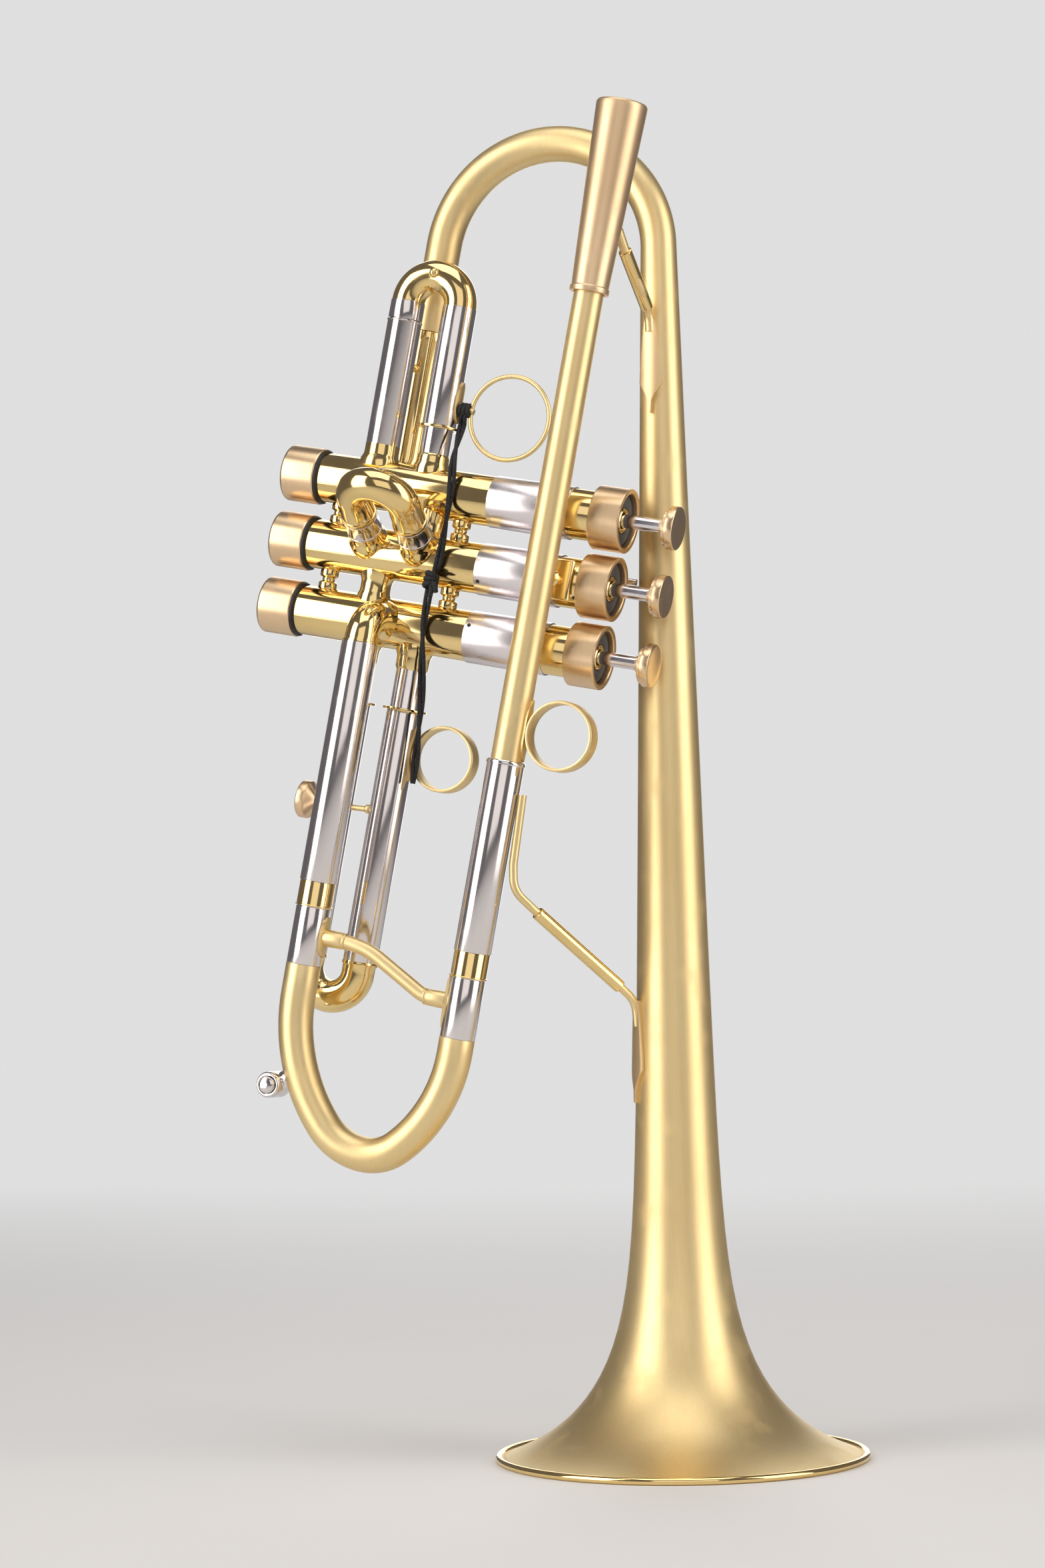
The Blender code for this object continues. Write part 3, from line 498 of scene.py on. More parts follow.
def strand(name, points, gauge):
    """One strand of elastic as a mesh tube, in the horn bench, and its centreline in metres."""
    pick()
    line = [HORN_BENCH @ (point * MM) for point in points]
    curve = bpy.data.curves.new(name, "CURVE")
    curve.dimensions, curve.bevel_depth, curve.bevel_resolution = "3D", gauge * MM, 3
    curve.use_fill_caps = True
    spline = curve.splines.new("POLY")
    spline.points.add(len(line) - 1)
    for point, place in zip(spline.points, line):
        point.co = (*place, 1.0)
    piece = bpy.data.objects.new(name, curve)
    bpy.context.scene.collection.objects.link(piece)
    pick(piece)
    bpy.ops.object.convert(target="MESH")
    return bpy.context.object, line


def make_keeper_cord():
    """Doubled elastic from the first slide's ring, knotted over the valves, to the third's."""
    upper = [vec(-16.6, 0, 50.6), vec(-15.6, -4.0, 44.0), vec(-13.6, -9.6, 36.0), vec(-12.0, -10.9, 25.0),
             vec(-11.6, -11.2, 12.0), vec(-11.8, -11.2, 0.0), vec(-12.6, -11.3, -4.2)]
    knot = vec(-13.2, -11.9, -7.4)
    lower = [vec(-13.4, -11.3, -10.8), vec(-13.2, -11.2, -24.0), vec(-11.8, -10.4, -36.0),
             vec(-10.4, -8.0, -50.0), vec(-10.0, -6.2, -62.0), vec(-9.6, -5.4, -72.0),
             vec(-9.2, -5.3, -80.0)]
    gauge = CORD_GAUGE
    for part, points, slide, node in (
            ("upper", upper, "first_slide", "keeper_cord_upper"),
            ("lower", lower, "third_slide", "keeper_cord_lower")):
        for side, apart in (("left", -1.0), ("right", 1.0)):
            route = smooth(points, 5)
            places = []
            for k, place in enumerate(route):
                turn = pi * 2.5 * k / (len(route) - 1)
                places.append(place + (X * cos(turn) + Y * 0.6 * sin(turn)) * apart * (gauge + 0.05))
            piece, line = strand(f"keeper_cord_{part}_{side}", places, gauge)
            settle(piece, None, "elastic", None, node)
            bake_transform(piece)
            length = sum((b - a).length for a, b in zip(line, line[1:]))
    for k, along in enumerate((-1.7, 0.0, 1.7)):
        lean = (Z + vec(0.25 * (k - 1), 0.3, 0)).normalized()
        turn = hoop(f"keeper_knot_turn_{k}", knot + vec(0.1 * k, 0, along), lean, 1.9, 1.0, 40)
        settle(turn, HORN_BENCH, "elastic", "body", "keeper_cord_knot")
    for k, end in enumerate((vec(-9.4, -14.6, -11.6), vec(-11.2, -15.0, -13.4))):
        middle = knot.lerp(end, 0.5) + vec(1.0, -1.2, 0.6 - k)
        tail = rod(f"keeper_knot_tail_{k}", [knot, middle, end], 0.95, 6.0, 16)
        settle(tail, HORN_BENCH, "elastic", "body", "keeper_cord_knot", edge=0.2)


# Bell ---------------------------------------------------------------------------------------

def make_bell():
    heights = [1.2, 1.9, 2.7, 3.6, 4.6, 5.8, 7.2, 8.8, 10.6, 12.7, 15.1, 17.9, 21.1, 24.8, 29.0, 33.8,
               39.3, 45.5, 52.5, 60.5, 69.5, 80, 92, 106, 122, 140, 160, 182, 206, 232, 260, 290, 320,
               350, 380, 405, 420, STEM_TOP]
    work = Drawn("bell_shell", vec(0, 0, heights[0]), Z, bell_radius(heights[0]), 128)
    for low, high in zip(heights, heights[1:]):
        work.draw(high - low, bell_radius(high) if high < STEM_TOP else BELL_TUBE)
    work.bend(-Y, pi - HORN_TILT, BOW_RADIUS, 60)
    work.draw((work.centre - VALVE_2_FROM_BELL).dot(-work.axis) - TAIL_END)
    shell = settle(work.done(BELL_WALL), BELL_BENCH, "bell_satin", "body", "bell", edge=0.15)
    bead = hoop("bell_rim_bead", vec(0, 0, BEAD), Z, BEAD_RADIUS, BEAD, 192)
    settle(bead, BELL_BENCH, "bright", "body", "bell_rim")
    return shell


def tail_x():
    """Horn X of the bell's straight tail."""
    end = vec(-BOW_RADIUS * (1 + cos(HORN_TILT)), 0, STEM_TOP + BOW_RADIUS * sin(HORN_TILT))
    reach = end - VALVE_2_FROM_BELL
    return reach.x * cos(HORN_TILT) - reach.z * sin(HORN_TILT)


def make_tail_port():
    around = BACK - CASING - 0.3
    work = Drawn("tail_port", vec(tail_x(), BACK, TAIL_END - 0.3), -Z, 7.1)
    work.draw(3.2).draw(0.0, BELL_TUBE).draw(TAIL_END - 3.5 - VALVE_Z[1] - around)
    work.bend(-X, pi / 2, around, 18).draw(2.6)
    settle(clear_bore(work.done(0.7), 1), HORN_BENCH, "bright", "body", "bell_tail_port", edge=0.2)


# Leadpipe and main slide --------------------------------------------------------------------

def make_leadpipe():
    base = vec(LEG_X, FRONT, 0)
    cup = [(99.4, 6.95), (101.2, 7.0), (101.6, 6.6), (164.4, 9.05), (165.8, 9.1), (166.6, 8.7),
           (166.8, 8.2), (166.8, 6.5), (166.0, 6.1), (145.0, 5.6), (99.4, 5.6)]
    settle(lathe("receiver", base, Z, cup, 72, True), HORN_BENCH, "receiver_tan", "body", "receiver",
           edge=0.12)
    pipework = [(130.0, 5.2), (60.0, 5.35), (0.0, 5.5), (-66.6, 5.6), (-66.6, 4.8), (130.0, 4.6)]
    settle(lathe("leadpipe", base, Z, pipework, 64, True), HORN_BENCH, "satin", "body", "leadpipe")


def make_outer_sleeves():
    for name, x, start, joint in (("upper", LEG_X, -66.3, HIGH_JOINT), ("lower", -LEG_X, -33.6, LOW_JOINT)):
        base, node = vec(x, FRONT, 0), f"main_slide_{name}_sleeve"
        band = joint + 9.3
        tube = [(start, SLEEVE), (band, SLEEVE), (band, 6.2), (start, 6.2)]
        settle(lathe(f"{name}_sleeve", base, Z, tube, 64, True), HORN_BENCH, "nickel", "body", node, edge=0.2)
        ring = [(band - 0.05, BAND), (joint + 0.8, BAND), (joint + 0.7, SLEEVE + 0.1),
                (joint + 0.25, SLEEVE + 0.1), (joint + 0.25, 6.0), (band - 0.05, 6.0)]
        settle(lathe(f"{name}_sleeve_band", base, Z, ring, 64, True), HORN_BENCH, "bright", "body", node,
               edge=0.1)
    lip = [(-66.0, 5.5), (-66.0, 6.5), (-66.7, 6.9), (-67.6, 6.9), (-67.6, 5.5)]
    settle(lathe("upper_sleeve_lip", vec(LEG_X, FRONT, 0), Z, lip, 64, True), HORN_BENCH, "nickel", "body",
           "main_slide_upper_sleeve", edge=0.15)


def make_elbow():
    around = 9.1
    work = Drawn("valve_3_elbow", vec(-LEG_X, FRONT, VALVE_Z[3] - around - 0.3), Z, 6.35)
    work.draw(0.9).draw(0.0, 6.0)
    work.bend(-X, pi / 2, around, 16)
    work.draw(2.6, 6.1).draw(1.8, 6.8).draw(1.8, 7.3)
    settle(clear_bore(work.done(0.8), 3), HORN_BENCH, "bright", "body", "valve_3_elbow", edge=0.15)


def make_main_slide():
    body, node = "main_slide", "main_slide_bow"
    sides = (("lower", -LEG_X, -66.0, LOW_JOINT, LOW_FERRULE_END),
             ("upper", LEG_X, -90.0, HIGH_JOINT, HIGH_FERRULE_END))
    ferrules = {}
    for name, x, top, joint, end in sides:
        base = vec(x, FRONT, 0)
        leg = pipe(f"main_slide_{name}_leg", base, Z, top, end, INNER_LEG, 5.4)
        settle(leg, HORN_BENCH, "nickel", body, node, edge=0.15)
        ring = [(joint, FERRULE), (end, FERRULE), (end, 5.7), (joint, 5.7)]
        ferrules[name] = settle(lathe(f"main_slide_{name}_ferrule", base, Z, ring, 64, True), HORN_BENCH,
                                "nickel", body, node, edge=0.15)
    work = Drawn("main_slide_bow", vec(-LEG_X, FRONT, LOW_FERRULE_END - 0.02), -Z, BOW_TUBE)
    work.draw(LOW_FERRULE_END + 160.0).bend(-Y, pi / 4, 62.8, 18).bend(-Y, pi / 4, 23.9, 14)
    work.bend(-Y, pi / 4, 17.3, 14).bend(-Y, pi / 4, 51.4, 16).draw(170.0 + HIGH_FERRULE_END)
    settle(work.done(0.7), HORN_BENCH, "satin", body, node, edge=0.15)

    brace = "main_slide_brace"
    left, right = -LEG_X + FERRULE, LEG_X - FERRULE
    line = [vec(left - 0.5, FRONT, -139.2), vec(left + 9.0, FRONT, -139.2), vec(-7.0, FRONT, -140.6),
            vec(5.5, FRONT, -147.0), vec(14.5, FRONT, -151.6), vec(right - 8.0, FRONT, -152.4),
            vec(right + 0.5, FRONT, -152.4)]
    settle(rod("main_brace_rod", line, 2.6, 30.0, 32), HORN_BENCH, "satin", body, brace)
    socket = [(0.2, 3.1), (7.2, 3.0), (7.4, 2.75), (7.8, 2.75), (8.0, 3.0), (8.6, 2.9),
              (8.6, 2.0), (0.2, 2.0)]
    settle(lathe("main_brace_left_socket", vec(left, FRONT, -139.2), X, socket, 40, True), HORN_BENCH,
           "satin", body, brace, edge=0.15)
    settle(lathe("main_brace_right_socket", vec(right, FRONT, -152.4), -X, socket, 40, True), HORN_BENCH,
           "satin", body, brace, edge=0.15)
    disc = [0.4, 5.2, 7.2, 8.4, 9.0, 9.2, 9.0, 8.4, 7.2, 5.2, 0.4]
    settle(leaf("main_brace_left_saddle", disc, 14.3, 0.9, HORN_BENCH, vec(left + 1.0, FRONT, -139.2), -Z, X,
                ferrules["lower"]), None, "satin", body, brace)
    long_leaf = [0.4, 3.0, 5.4, 7.0, 7.6, 7.0, 5.4, 3.0, 0.4]
    settle(leaf("main_brace_right_saddle", long_leaf, 19.0, 0.8, HORN_BENCH, vec(right - 1.0, FRONT, -152.4),
                -Z, -X, ferrules["upper"]), None, "satin", body, brace)

    key = vec(-34.4, FRONT, -194.0)
    barrel = [(5.0, 0.6), (5.0, 3.9), (4.4, 4.6), (-5.2, 4.6), (-6.0, 4.1), (-6.0, 3.2),
              (3.8, 3.2), (3.8, 0.6)]
    settle(lathe("water_key_barrel", key, Y, barrel, 48), HORN_BENCH, "nickel", body, "water_key_barrel",
           edge=0.12)
    nipple = lathe("water_key_seat", key, vec(10.6, 0, 5.4).normalized(), [(3.6, 3.6), (6.8, 3.9)], 32)
    settle(nipple, HORN_BENCH, "nickel", body, "water_key_barrel", edge=0.15)
    plunger = [(-7.6, 0.5), (-7.6, 2.0), (-7.2, 2.8), (-6.6, 3.0), (0.6, 3.0), (0.6, 0.5)]
    settle(lathe("water_key_plunger", key, Y, plunger, 40), HORN_BENCH, "nickel", "water_key",
           "water_key_button", edge=0.1)


# Valves -------------------------------------------------------------------------------------

def make_valves():
    """Valve 2's pieces are turned on the bench and copied to the other two places."""
    shell = [(CASING_LOW, CASING), (BARREL_TOP, CASING), (BARREL_TOP, COLLAR), (CASING_TOP, COLLAR),
             (CASING_TOP, CASING_BORE), (14.3, CASING_BORE), (14.3, 2.6), (12.3, 2.6), (12.3, CASING_BORE),
             (CASING_LOW, CASING_BORE)]
    barrel = [(BARREL_LOW, BARREL), (BARREL_TOP, BARREL), (BARREL_TOP, CASING - 0.2),
              (BARREL_LOW, CASING - 0.2)]
    end = LOW_CAP_END
    low_cap = [(end + 0.5, 0.5), (end + 0.5, 5.6), (end, 6.0), (end, 9.3), (end + 0.15, 9.75),
               (end + 0.5, 10.1), (end + 0.95, 10.28), (end + 1.2, LOW_CAP), (-67.6, LOW_CAP),
               (-67.4, LOW_CAP), (-67.1, 10.15), (-67.0, 9.9), (-67.0, 9.2), (end + 2.4, 9.2),
               (end + 2.4, 0.5)]
    start, top = 40.9, CAP_TOP
    top_cap = [(start, 11.2), (start + 0.1, 11.4), (start + 0.3, CAP), (start + 0.5, CAP), (top - 0.5, CAP),
               (top - 0.3, CAP), (top - 0.1, 11.42), (top, 11.25), (top, 10.0), (top - 0.15, 9.7),
               (top - 0.4, 9.52), (top - 0.6, 9.5), (CAP_FLOOR + 0.2, 9.5), (CAP_FLOOR, 9.3),
               (CAP_FLOOR, 2.7), (CAP_FLOOR - 1.9, 2.7), (CAP_FLOOR - 1.9, 9.0), (start, 9.0)]
    pad = [(CAP_FLOOR, 9.3), (50.1, 9.25), (FELT_TOP, 8.8), (FELT_TOP, 4.9), (49.9, 4.6), (49.9, 3.2),
           (CAP_FLOOR, 3.2)]
    collar = [(49.6, 3.3), (49.6, 4.4), (50.45, 4.4), (50.75, 4.1), (50.75, 3.5), (50.4, 2.95), (49.6, 2.95)]
    core = [(67.4, 2.45), (44.0, STEM), (43.8, 7.4), (43.6, 7.6), (42.4, 7.6), (42.25, 7.4),
            (42.25, STEM), (12.3, STEM), (12.0, 8.0), (11.8, PISTON), (-49.8, PISTON), (-50.0, 8.0),
            (-50.0, 7.3), (-49.8, 7.2), (9.5, 7.2), (9.5, 0.5)]
    low, top = BUTTON_LOW, BUTTON_TOP
    knob = [(low - 2.0, 2.4), (low - 2.1, 2.8), (low + 0.4, 2.85), (low + 0.5, 4.7), (low, 5.0), (low, 6.5),
            (low + 0.2, 6.8), (low + 1.3, 6.85), (low + 1.45, 7.5), (low + 1.65, 7.75), (low + 1.9, BUTTON),
            (top - 0.55, BUTTON), (top - 0.3, 7.76), (top - 0.1, 7.6), (top, 7.3), (top - 0.02, 6.9),
            (top - 0.25, 4.6), (top - 0.38, 2.4), (top - 0.42, 0.4)]
    turned = (
        ("casing", "valve_casing", shell, "bright", True, 0.15, 96),
        ("casing", "valve_barrel", barrel, "soft_nickel", True, 0.12, 96),
        ("bottom_cap", "valve_bottom_cap", low_cap, "copper", False, 0.0, 96),
        ("top_cap", "valve_top_cap", top_cap, "copper", True, 0.0, 96),
        ("cap_felt", "valve_felt", pad, "felt", True, 0.0, 64),
        ("cap_felt", "valve_stem_ring", collar, "bright", True, 0.0, 40),
        ("piston", "valve_piston", core, "piston", False, 0.0, 64),
        ("button", "valve_button", knob, "button_brass", False, 0.0, 80),
    )
    for node, name, profile, finish, loop, edge, sides in turned:
        first = lathe(f"{name}_2", vec(0, 0, 0), X, profile, sides, loop)
        copies = {2: first}
        for number in (1, 3):
            copies[number] = again(first, f"{name}_{number}", Z * VALVE_Z[number])
        for number, piece in copies.items():
            body = f"valve_{number}" if node in ("piston", "button") else "body"
            settle(piece, HORN_BENCH, finish, body, f"valve_{number}_{node}", edge=edge)
    ring = hoop("valve_cap_seal_2", vec(-66.6, 0, 0), X, 9.1, 0.85, 80)
    for number, piece in {2: ring, 1: again(ring, "valve_cap_seal_1", Z * VALVE_Z[1]),
                          3: again(ring, "valve_cap_seal_3", Z * VALVE_Z[3])}.items():
        settle(piece, HORN_BENCH, "rubber_and_hole_shade", "body", f"valve_{number}_bottom_cap")
    # Vent holes: black discs set flush into the casing walls. They are painted shade standing for the dark
    # inside of each hole, not a rubber part.
    for number, along, low in ((2, 3.0, 32), (3, 3.0, -22), (2, 39.8, 38)):
        face = vec(0, -cos(radians(low)), -sin(radians(low)))
        hole = lathe(f"vent_hole_shade_disc_{number}_{round(along)}", vec(along, 0, VALVE_Z[number]), face,
                     [(BARREL - 0.6 if along < BARREL_TOP else COLLAR - 0.6, 0.75),
                      (BARREL + 0.03 if along < BARREL_TOP else COLLAR + 0.03, 0.75)], 20)
        settle(hole, HORN_BENCH, "rubber_and_hole_shade", "body", f"valve_{number}_casing")


def make_springs():
    for number, z in VALVE_Z.items():
        pick()
        low, high, turns, coil, gauge = 15.1, 41.7, 6, 5.4, 0.45
        bpy.ops.mesh.primitive_circle_add(vertices=10, radius=gauge * MM, location=(low * MM, 0.0, z * MM))
        piece = bpy.context.object
        piece.name = piece.data.name = f"valve_{number}_return_spring"
        bpy.ops.object.mode_set(mode="EDIT")
        bpy.ops.mesh.select_all(action="SELECT")
        bpy.ops.transform.translate(value=(0.0, coil * MM, 0.0))
        bpy.ops.object.mode_set(mode="OBJECT")
        work_with(piece, "SCREW", axis="X", iterations=turns, screw_offset=(high - low) / turns * MM,
                  angle=2 * pi, steps=28, render_steps=28, use_merge_vertices=True, merge_threshold=1e-6)
        bpy.ops.object.transform_apply(location=True, rotation=True, scale=True)
        bpy.ops.object.mode_set(mode="EDIT")
        bpy.ops.mesh.select_all(action="SELECT")
        bpy.ops.mesh.fill_holes(sides=0)
        bpy.ops.mesh.normals_make_consistent(inside=False)
        bpy.ops.object.mode_set(mode="OBJECT")
        settle(piece, HORN_BENCH, "steel", "body", f"valve_{number}_spring", flat=50)
        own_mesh(piece)


def make_links():
    half = VALVE_Z[1] / 2 - CASING + 0.5
    spool = [(-half, 3.4), (-1.3, 3.4), (-1.0, 3.1), (-0.6, 2.3), (0.6, 2.3), (1.0, 3.1), (1.3, 3.4),
             (half, 3.4)]
    port = [(-half - 2.4, 6.6), (-3.2, 6.2), (-2.2, 5.75), (-1.0, 5.6), (1.0, 5.6), (2.2, 5.75), (3.2, 6.2),
            (half + 2.4, 6.6), (half + 2.4, 4.8), (-half - 2.4, 4.8)]
    for pair, middle in (("1_2", 12.25), ("2_3", -12.25)):
        for place, x in (("lower", -58.0), ("upper", -10.0)):
            link = lathe(f"link_{pair}_{place}_spool", vec(x, 0, middle), Z, spool, 40)
            settle(link, HORN_BENCH, "bright", "body", f"link_{pair}_{place}", edge=0.1)
        x = -22.0 if pair == "1_2" else -39.0
        tube = clear_bore(lathe(f"port_{pair}_tube", vec(x, 0, middle), Z, port, 48, True),
                          *(int(number) for number in pair.split("_")))
        settle(tube, HORN_BENCH, "bright", "body", f"port_{pair}")


def settle_port(name, base, axis, profile, valve, node):
    """A flared tube end that meets one casing's round wall."""
    piece = clear_bore(lathe(name, base, axis, profile, 56, True), valve)
    return settle(piece, HORN_BENCH, "bright", "body", node, edge=0.12)


# Slides -------------------------------------------------------------------------------------

def finger_ring(name, centre, radius, thickness, width, body, node):
    half = width / 2
    band = [(-half, radius - 0.15), (-half + 0.8, radius), (half - 0.8, radius), (half, radius - 0.15),
            (half, radius - thickness), (-half, radius - thickness)]
    return settle(lathe(name, centre, Y, band, 96, True), HORN_BENCH, "satin", body, node, edge=0.3)


LONG_LEAF = [0.4, 3.4, 5.2, 6.4, 7.0, 7.2, 7.0, 6.4, 5.2, 3.4, 0.4]


def tie_cord_to_ring(body, node):
    """The keeper cord's last turns, round the neck of the first slide's ring."""
    for k, x in enumerate((-17.8, -16.3, -14.8)):
        lean = (X + Z * 0.12 * (k - 1)).normalized()
        turn = hoop(f"keeper_ring_turn_{k}", vec(x, 0, RING_NECK), lean, 2.0, 0.8, 32)
        settle(turn, HORN_BENCH, "elastic", body, node)
    for k, x in enumerate((-17.4, -15.8)):
        line = [vec(x, 0, 50.2), vec(x, -0.8, 53.0), vec(x + 0.4, -1.7, 55.8)]
        end = rod(f"keeper_ring_end_{k}", line, CORD_GAUGE, 3.0, 16)
        settle(end, HORN_BENCH, "elastic", body, node, edge=0.2)


def make_first_slide():
    casing = VALVE_Z[1] + CASING - 2.8
    low, high, body, node = vec(FIRST_LOW, 0, 0), vec(FIRST_HIGH, 0, 0), "first_slide", "first_slide_crook"
    port = [(casing, 7.6), (casing + 2.8, 7.2), (casing + 4.0, 6.6), (casing + 5.0, 6.35),
            (39.0, 6.35), (39.0, 5.4), (casing, 5.4)]
    settle_port("first_low_port", low, Z, port, 1, "first_slide_lower_sleeve")
    tube = [(38.8, SLIDE_SLEEVE), (84.3, SLIDE_SLEEVE), (84.4, SLIDE_SLEEVE + 0.25),
            (84.9, SLIDE_SLEEVE + 0.25), (84.9, 5.6), (38.8, 5.6)]
    settle(lathe("first_low_sleeve", low, Z, tube, 56, True), HORN_BENCH, "nickel", "body",
           "first_slide_lower_sleeve", edge=0.1)
    bullet = [(casing, 7.0), (casing + 2.8, 6.7), (casing + 4.0, 6.15), (casing + 5.0, 5.95),
              (37.2, 5.9), (38.2, 5.5), (38.2, 5.1), (casing, 5.1)]
    settle_port("first_high_port", high, Z, bullet, 1, "first_slide_upper_tube")
    settle(pipe("first_high_tube", high, Z, 34.0, FIRST_CROOK - 6.0, SLIDE_TUBE, 5.0, 56), HORN_BENCH,
           "nickel", "body", "first_slide_upper_tube", edge=0.1)

    settle(pipe("first_low_leg", low, Z, 45.0, FIRST_LINE + 1.0, SLIDE_TUBE, 5.0, 56), HORN_BENCH, "nickel",
           body, node, edge=0.1)
    settle(pipe("first_low_ferrule", low, Z, FIRST_LINE, FIRST_CROOK, SLIDE_SLEEVE, 5.2, 56), HORN_BENCH,
           "nickel", body, node, edge=0.2)
    sleeve = settle(pipe("first_high_sleeve", high, Z, FIRST_LIP + 0.5, FIRST_CROOK, SLIDE_SLEEVE, 5.6, 56),
                    HORN_BENCH, "nickel", body, node, edge=0.15)
    settle(pipe("first_lip", high, Z, FIRST_LIP, FIRST_LIP + LIP, LIP_RADIUS, 5.7, 64), HORN_BENCH, "bright",
           body, node, edge=0.25)
    work = Drawn("first_crook", low + Z * (FIRST_CROOK - 0.3), Z, CROOK_TUBE, 56)
    work.draw(0.3).bend(Y, pi, (FIRST_HIGH - FIRST_LOW) / 2, 40).draw(0.3)
    settle(work.done(0.6), HORN_BENCH, "bright", body, node, edge=0.1)
    settle(ball("first_crook_nub", vec(-35.4, -5.9, 102.6), 1.8), HORN_BENCH, "bright", body, node)

    ring_node = "first_slide_ring"
    settle(hoop("first_ring_wire", vec(1.0, 0, 55.0), Y, 15.1, 0.85), HORN_BENCH, "satin", body, ring_node)
    settle(leaf("first_ring_leaf", LONG_LEAF, 15.0, 0.8, HORN_BENCH, high + X * 7.5 + Z * 58.0, Z, X, sleeve),
           None, "satin", body, ring_node)
    neck = [high + X * 6.6 + Z * 57.0, high + X * 9.5 + Z * 56.0, vec(-13.2, 0, 55.0)]
    settle(rod("first_ring_neck", neck, 1.3, 6.0), HORN_BENCH, "satin", body, ring_node)
    tie_cord_to_ring(body, ring_node)


def make_first_brace():
    """Short ball-ended rod between the first slide's lower sleeve and the bell's tail."""
    line = [vec(-45.0, 5.8, 70.0), vec(-45.4, 16.2, 70.0)]
    settle(rod("first_tail_brace", line, 1.5, 4.0), HORN_BENCH, "bright", "body", "first_slide_lower_sleeve")
    settle(ball("first_tail_brace_ball", vec(-45.0, 6.6, 70.0), 2.3), HORN_BENCH, "bright", "body",
           "first_slide_lower_sleeve")


def make_second_slide():
    out = vec(0, -cos(SECOND_LEAN), sin(SECOND_LEAN))
    body, node = "second_slide", "second_slide_crook"
    low = vec(SECOND_LOW, 0, 0)
    for name, x in (("lower", SECOND_LOW), ("upper", SECOND_HIGH)):
        base, fixed = vec(x, 0, 0), f"second_slide_{name}_sleeve"
        port = [(5.6, 7.4), (9.2, 7.1), (10.4, 6.5), (11.4, 6.3), (13.7, 6.3), (13.7, 5.4), (5.6, 5.4)]
        settle_port(f"second_{name}_port", base, out, port, 2, fixed)
        raised = SLIDE_SLEEVE + 0.2
        tube = [(13.5, raised), (14.2, raised), (14.3, SLIDE_SLEEVE), (20.4, SLIDE_SLEEVE), (20.5, raised),
                (21.2, raised), (21.2, 5.6), (13.5, 5.6)]
        settle(lathe(f"second_{name}_sleeve", base, out, tube, 56, True), HORN_BENCH, "nickel", "body", fixed,
               edge=0.08)
        leg = pipe(f"second_{name}_leg", base, out, 14.0, SECOND_LINE + 1.0, SLIDE_TUBE, 5.0, 48)
        settle(leg, HORN_BENCH, "nickel", body, node, edge=0.1)
    work = Drawn("second_crook", low + out * SECOND_LINE, out, SLIDE_SLEEVE + 0.15, 56)
    work.draw(1.2).draw(0.0, CROOK_TUBE).draw(SECOND_CROOK - SECOND_LINE - 1.2)
    work.bend(out.cross(X), pi, (SECOND_HIGH - SECOND_LOW) / 2, 40)
    work.draw(SECOND_CROOK - SECOND_LINE - 1.2).draw(0.0, SLIDE_SLEEVE + 0.15).draw(1.2)
    settle(work.done(0.6), HORN_BENCH, "bright", body, node, edge=0.1)


def make_third_slide():
    casing = VALVE_Z[3] - CASING + 2.8
    body, node = "third_slide", "third_slide_crook"
    low, high = vec(THIRD_LOW, 0, 0), vec(THIRD_HIGH, 0, 0)
    sleeves = {}
    for name, base in (("lower", low), ("upper", high)):
        port = [(casing, 7.0), (casing - 2.8, 6.8), (casing - 4.0, 6.25), (casing - 5.0, 6.05),
                (-39.2, 6.0), (-40.0, 5.6), (-40.0, 5.1), (casing, 5.1)]
        fixed = f"third_slide_{name}_tube"
        settle_port(f"third_{name}_port", base, Z, port, 3, fixed)
        inner = pipe(f"third_{name}_inner", base, Z, -36.0, THIRD_CROOK + 8.0, SLIDE_TUBE, 5.0, 56)
        settle(inner, HORN_BENCH, "nickel", "body", fixed, edge=0.1)
        lip = pipe(f"third_{name}_lip", base, Z, THIRD_LIP, THIRD_LIP - LIP, LIP_RADIUS, 5.7, 64)
        settle(lip, HORN_BENCH, "bright", body, node, edge=0.25)
        tube = [(THIRD_LIP - 0.5, SLIDE_SLEEVE), (THIRD_END, SLIDE_SLEEVE), (THIRD_END, 5.6),
                (THIRD_LIP - 0.5, 5.6)]
        sleeves[name] = settle(lathe(f"third_{name}_sleeve", base, Z, tube, 56, True), HORN_BENCH, "nickel",
                               body, node, edge=0.15)
    work = Drawn("third_crook", low + Z * THIRD_BEND, -Z, SLIDE_SLEEVE + 0.2, 56)
    work.draw(1.4).draw(0.0, CROOK_TUBE).draw(THIRD_BEND - 1.4 - THIRD_CROOK)
    work.bend(-Y, pi, (THIRD_HIGH - THIRD_LOW) / 2, 40)
    work.draw(-146.6 - 1.4 - THIRD_CROOK).draw(0.0, SLIDE_SLEEVE + 0.2).draw(1.4)
    settle(work.done(0.6), HORN_BENCH, "bright", body, node, edge=0.1)
    finger_ring("third_ring", vec(-0.65, 0, -69.6), 12.0, 1.2, 7.0, body, "third_slide_ring")
    settle(leaf("third_ring_leaf", LONG_LEAF, 20.0, 0.9, HORN_BENCH, high + X * 7.6 - Z * 69.6, -Z, X,
                sleeves["upper"]), None, "satin", body, "third_slide_ring")
    stub = vec(THIRD_LOW, 0, -92.5)
    knob = [(5.9, 1.9), (7.4, 2.0), (7.7, 2.3), (9.9, 6.2), (10.2, 6.8), (10.5, 6.9), (13.1, 6.9),
            (13.5, 6.5), (13.6, 5.9), (13.6, 0.4)]
    settle(lathe("third_knob", stub, -X, knob, 56), HORN_BENCH, "copper", body, "third_slide_knob", edge=0.1)
    settle(rod("third_knob_rod", [stub + X * 6.0, vec(THIRD_HIGH - 6.0, 0, -92.0)], 1.0, 4.0), HORN_BENCH,
           "satin", body, "third_slide_knob")
    settle(ball("third_knob_ball", vec(THIRD_HIGH - 7.2, 0, -92.0), 1.7), HORN_BENCH, "satin", body,
           "third_slide_knob")


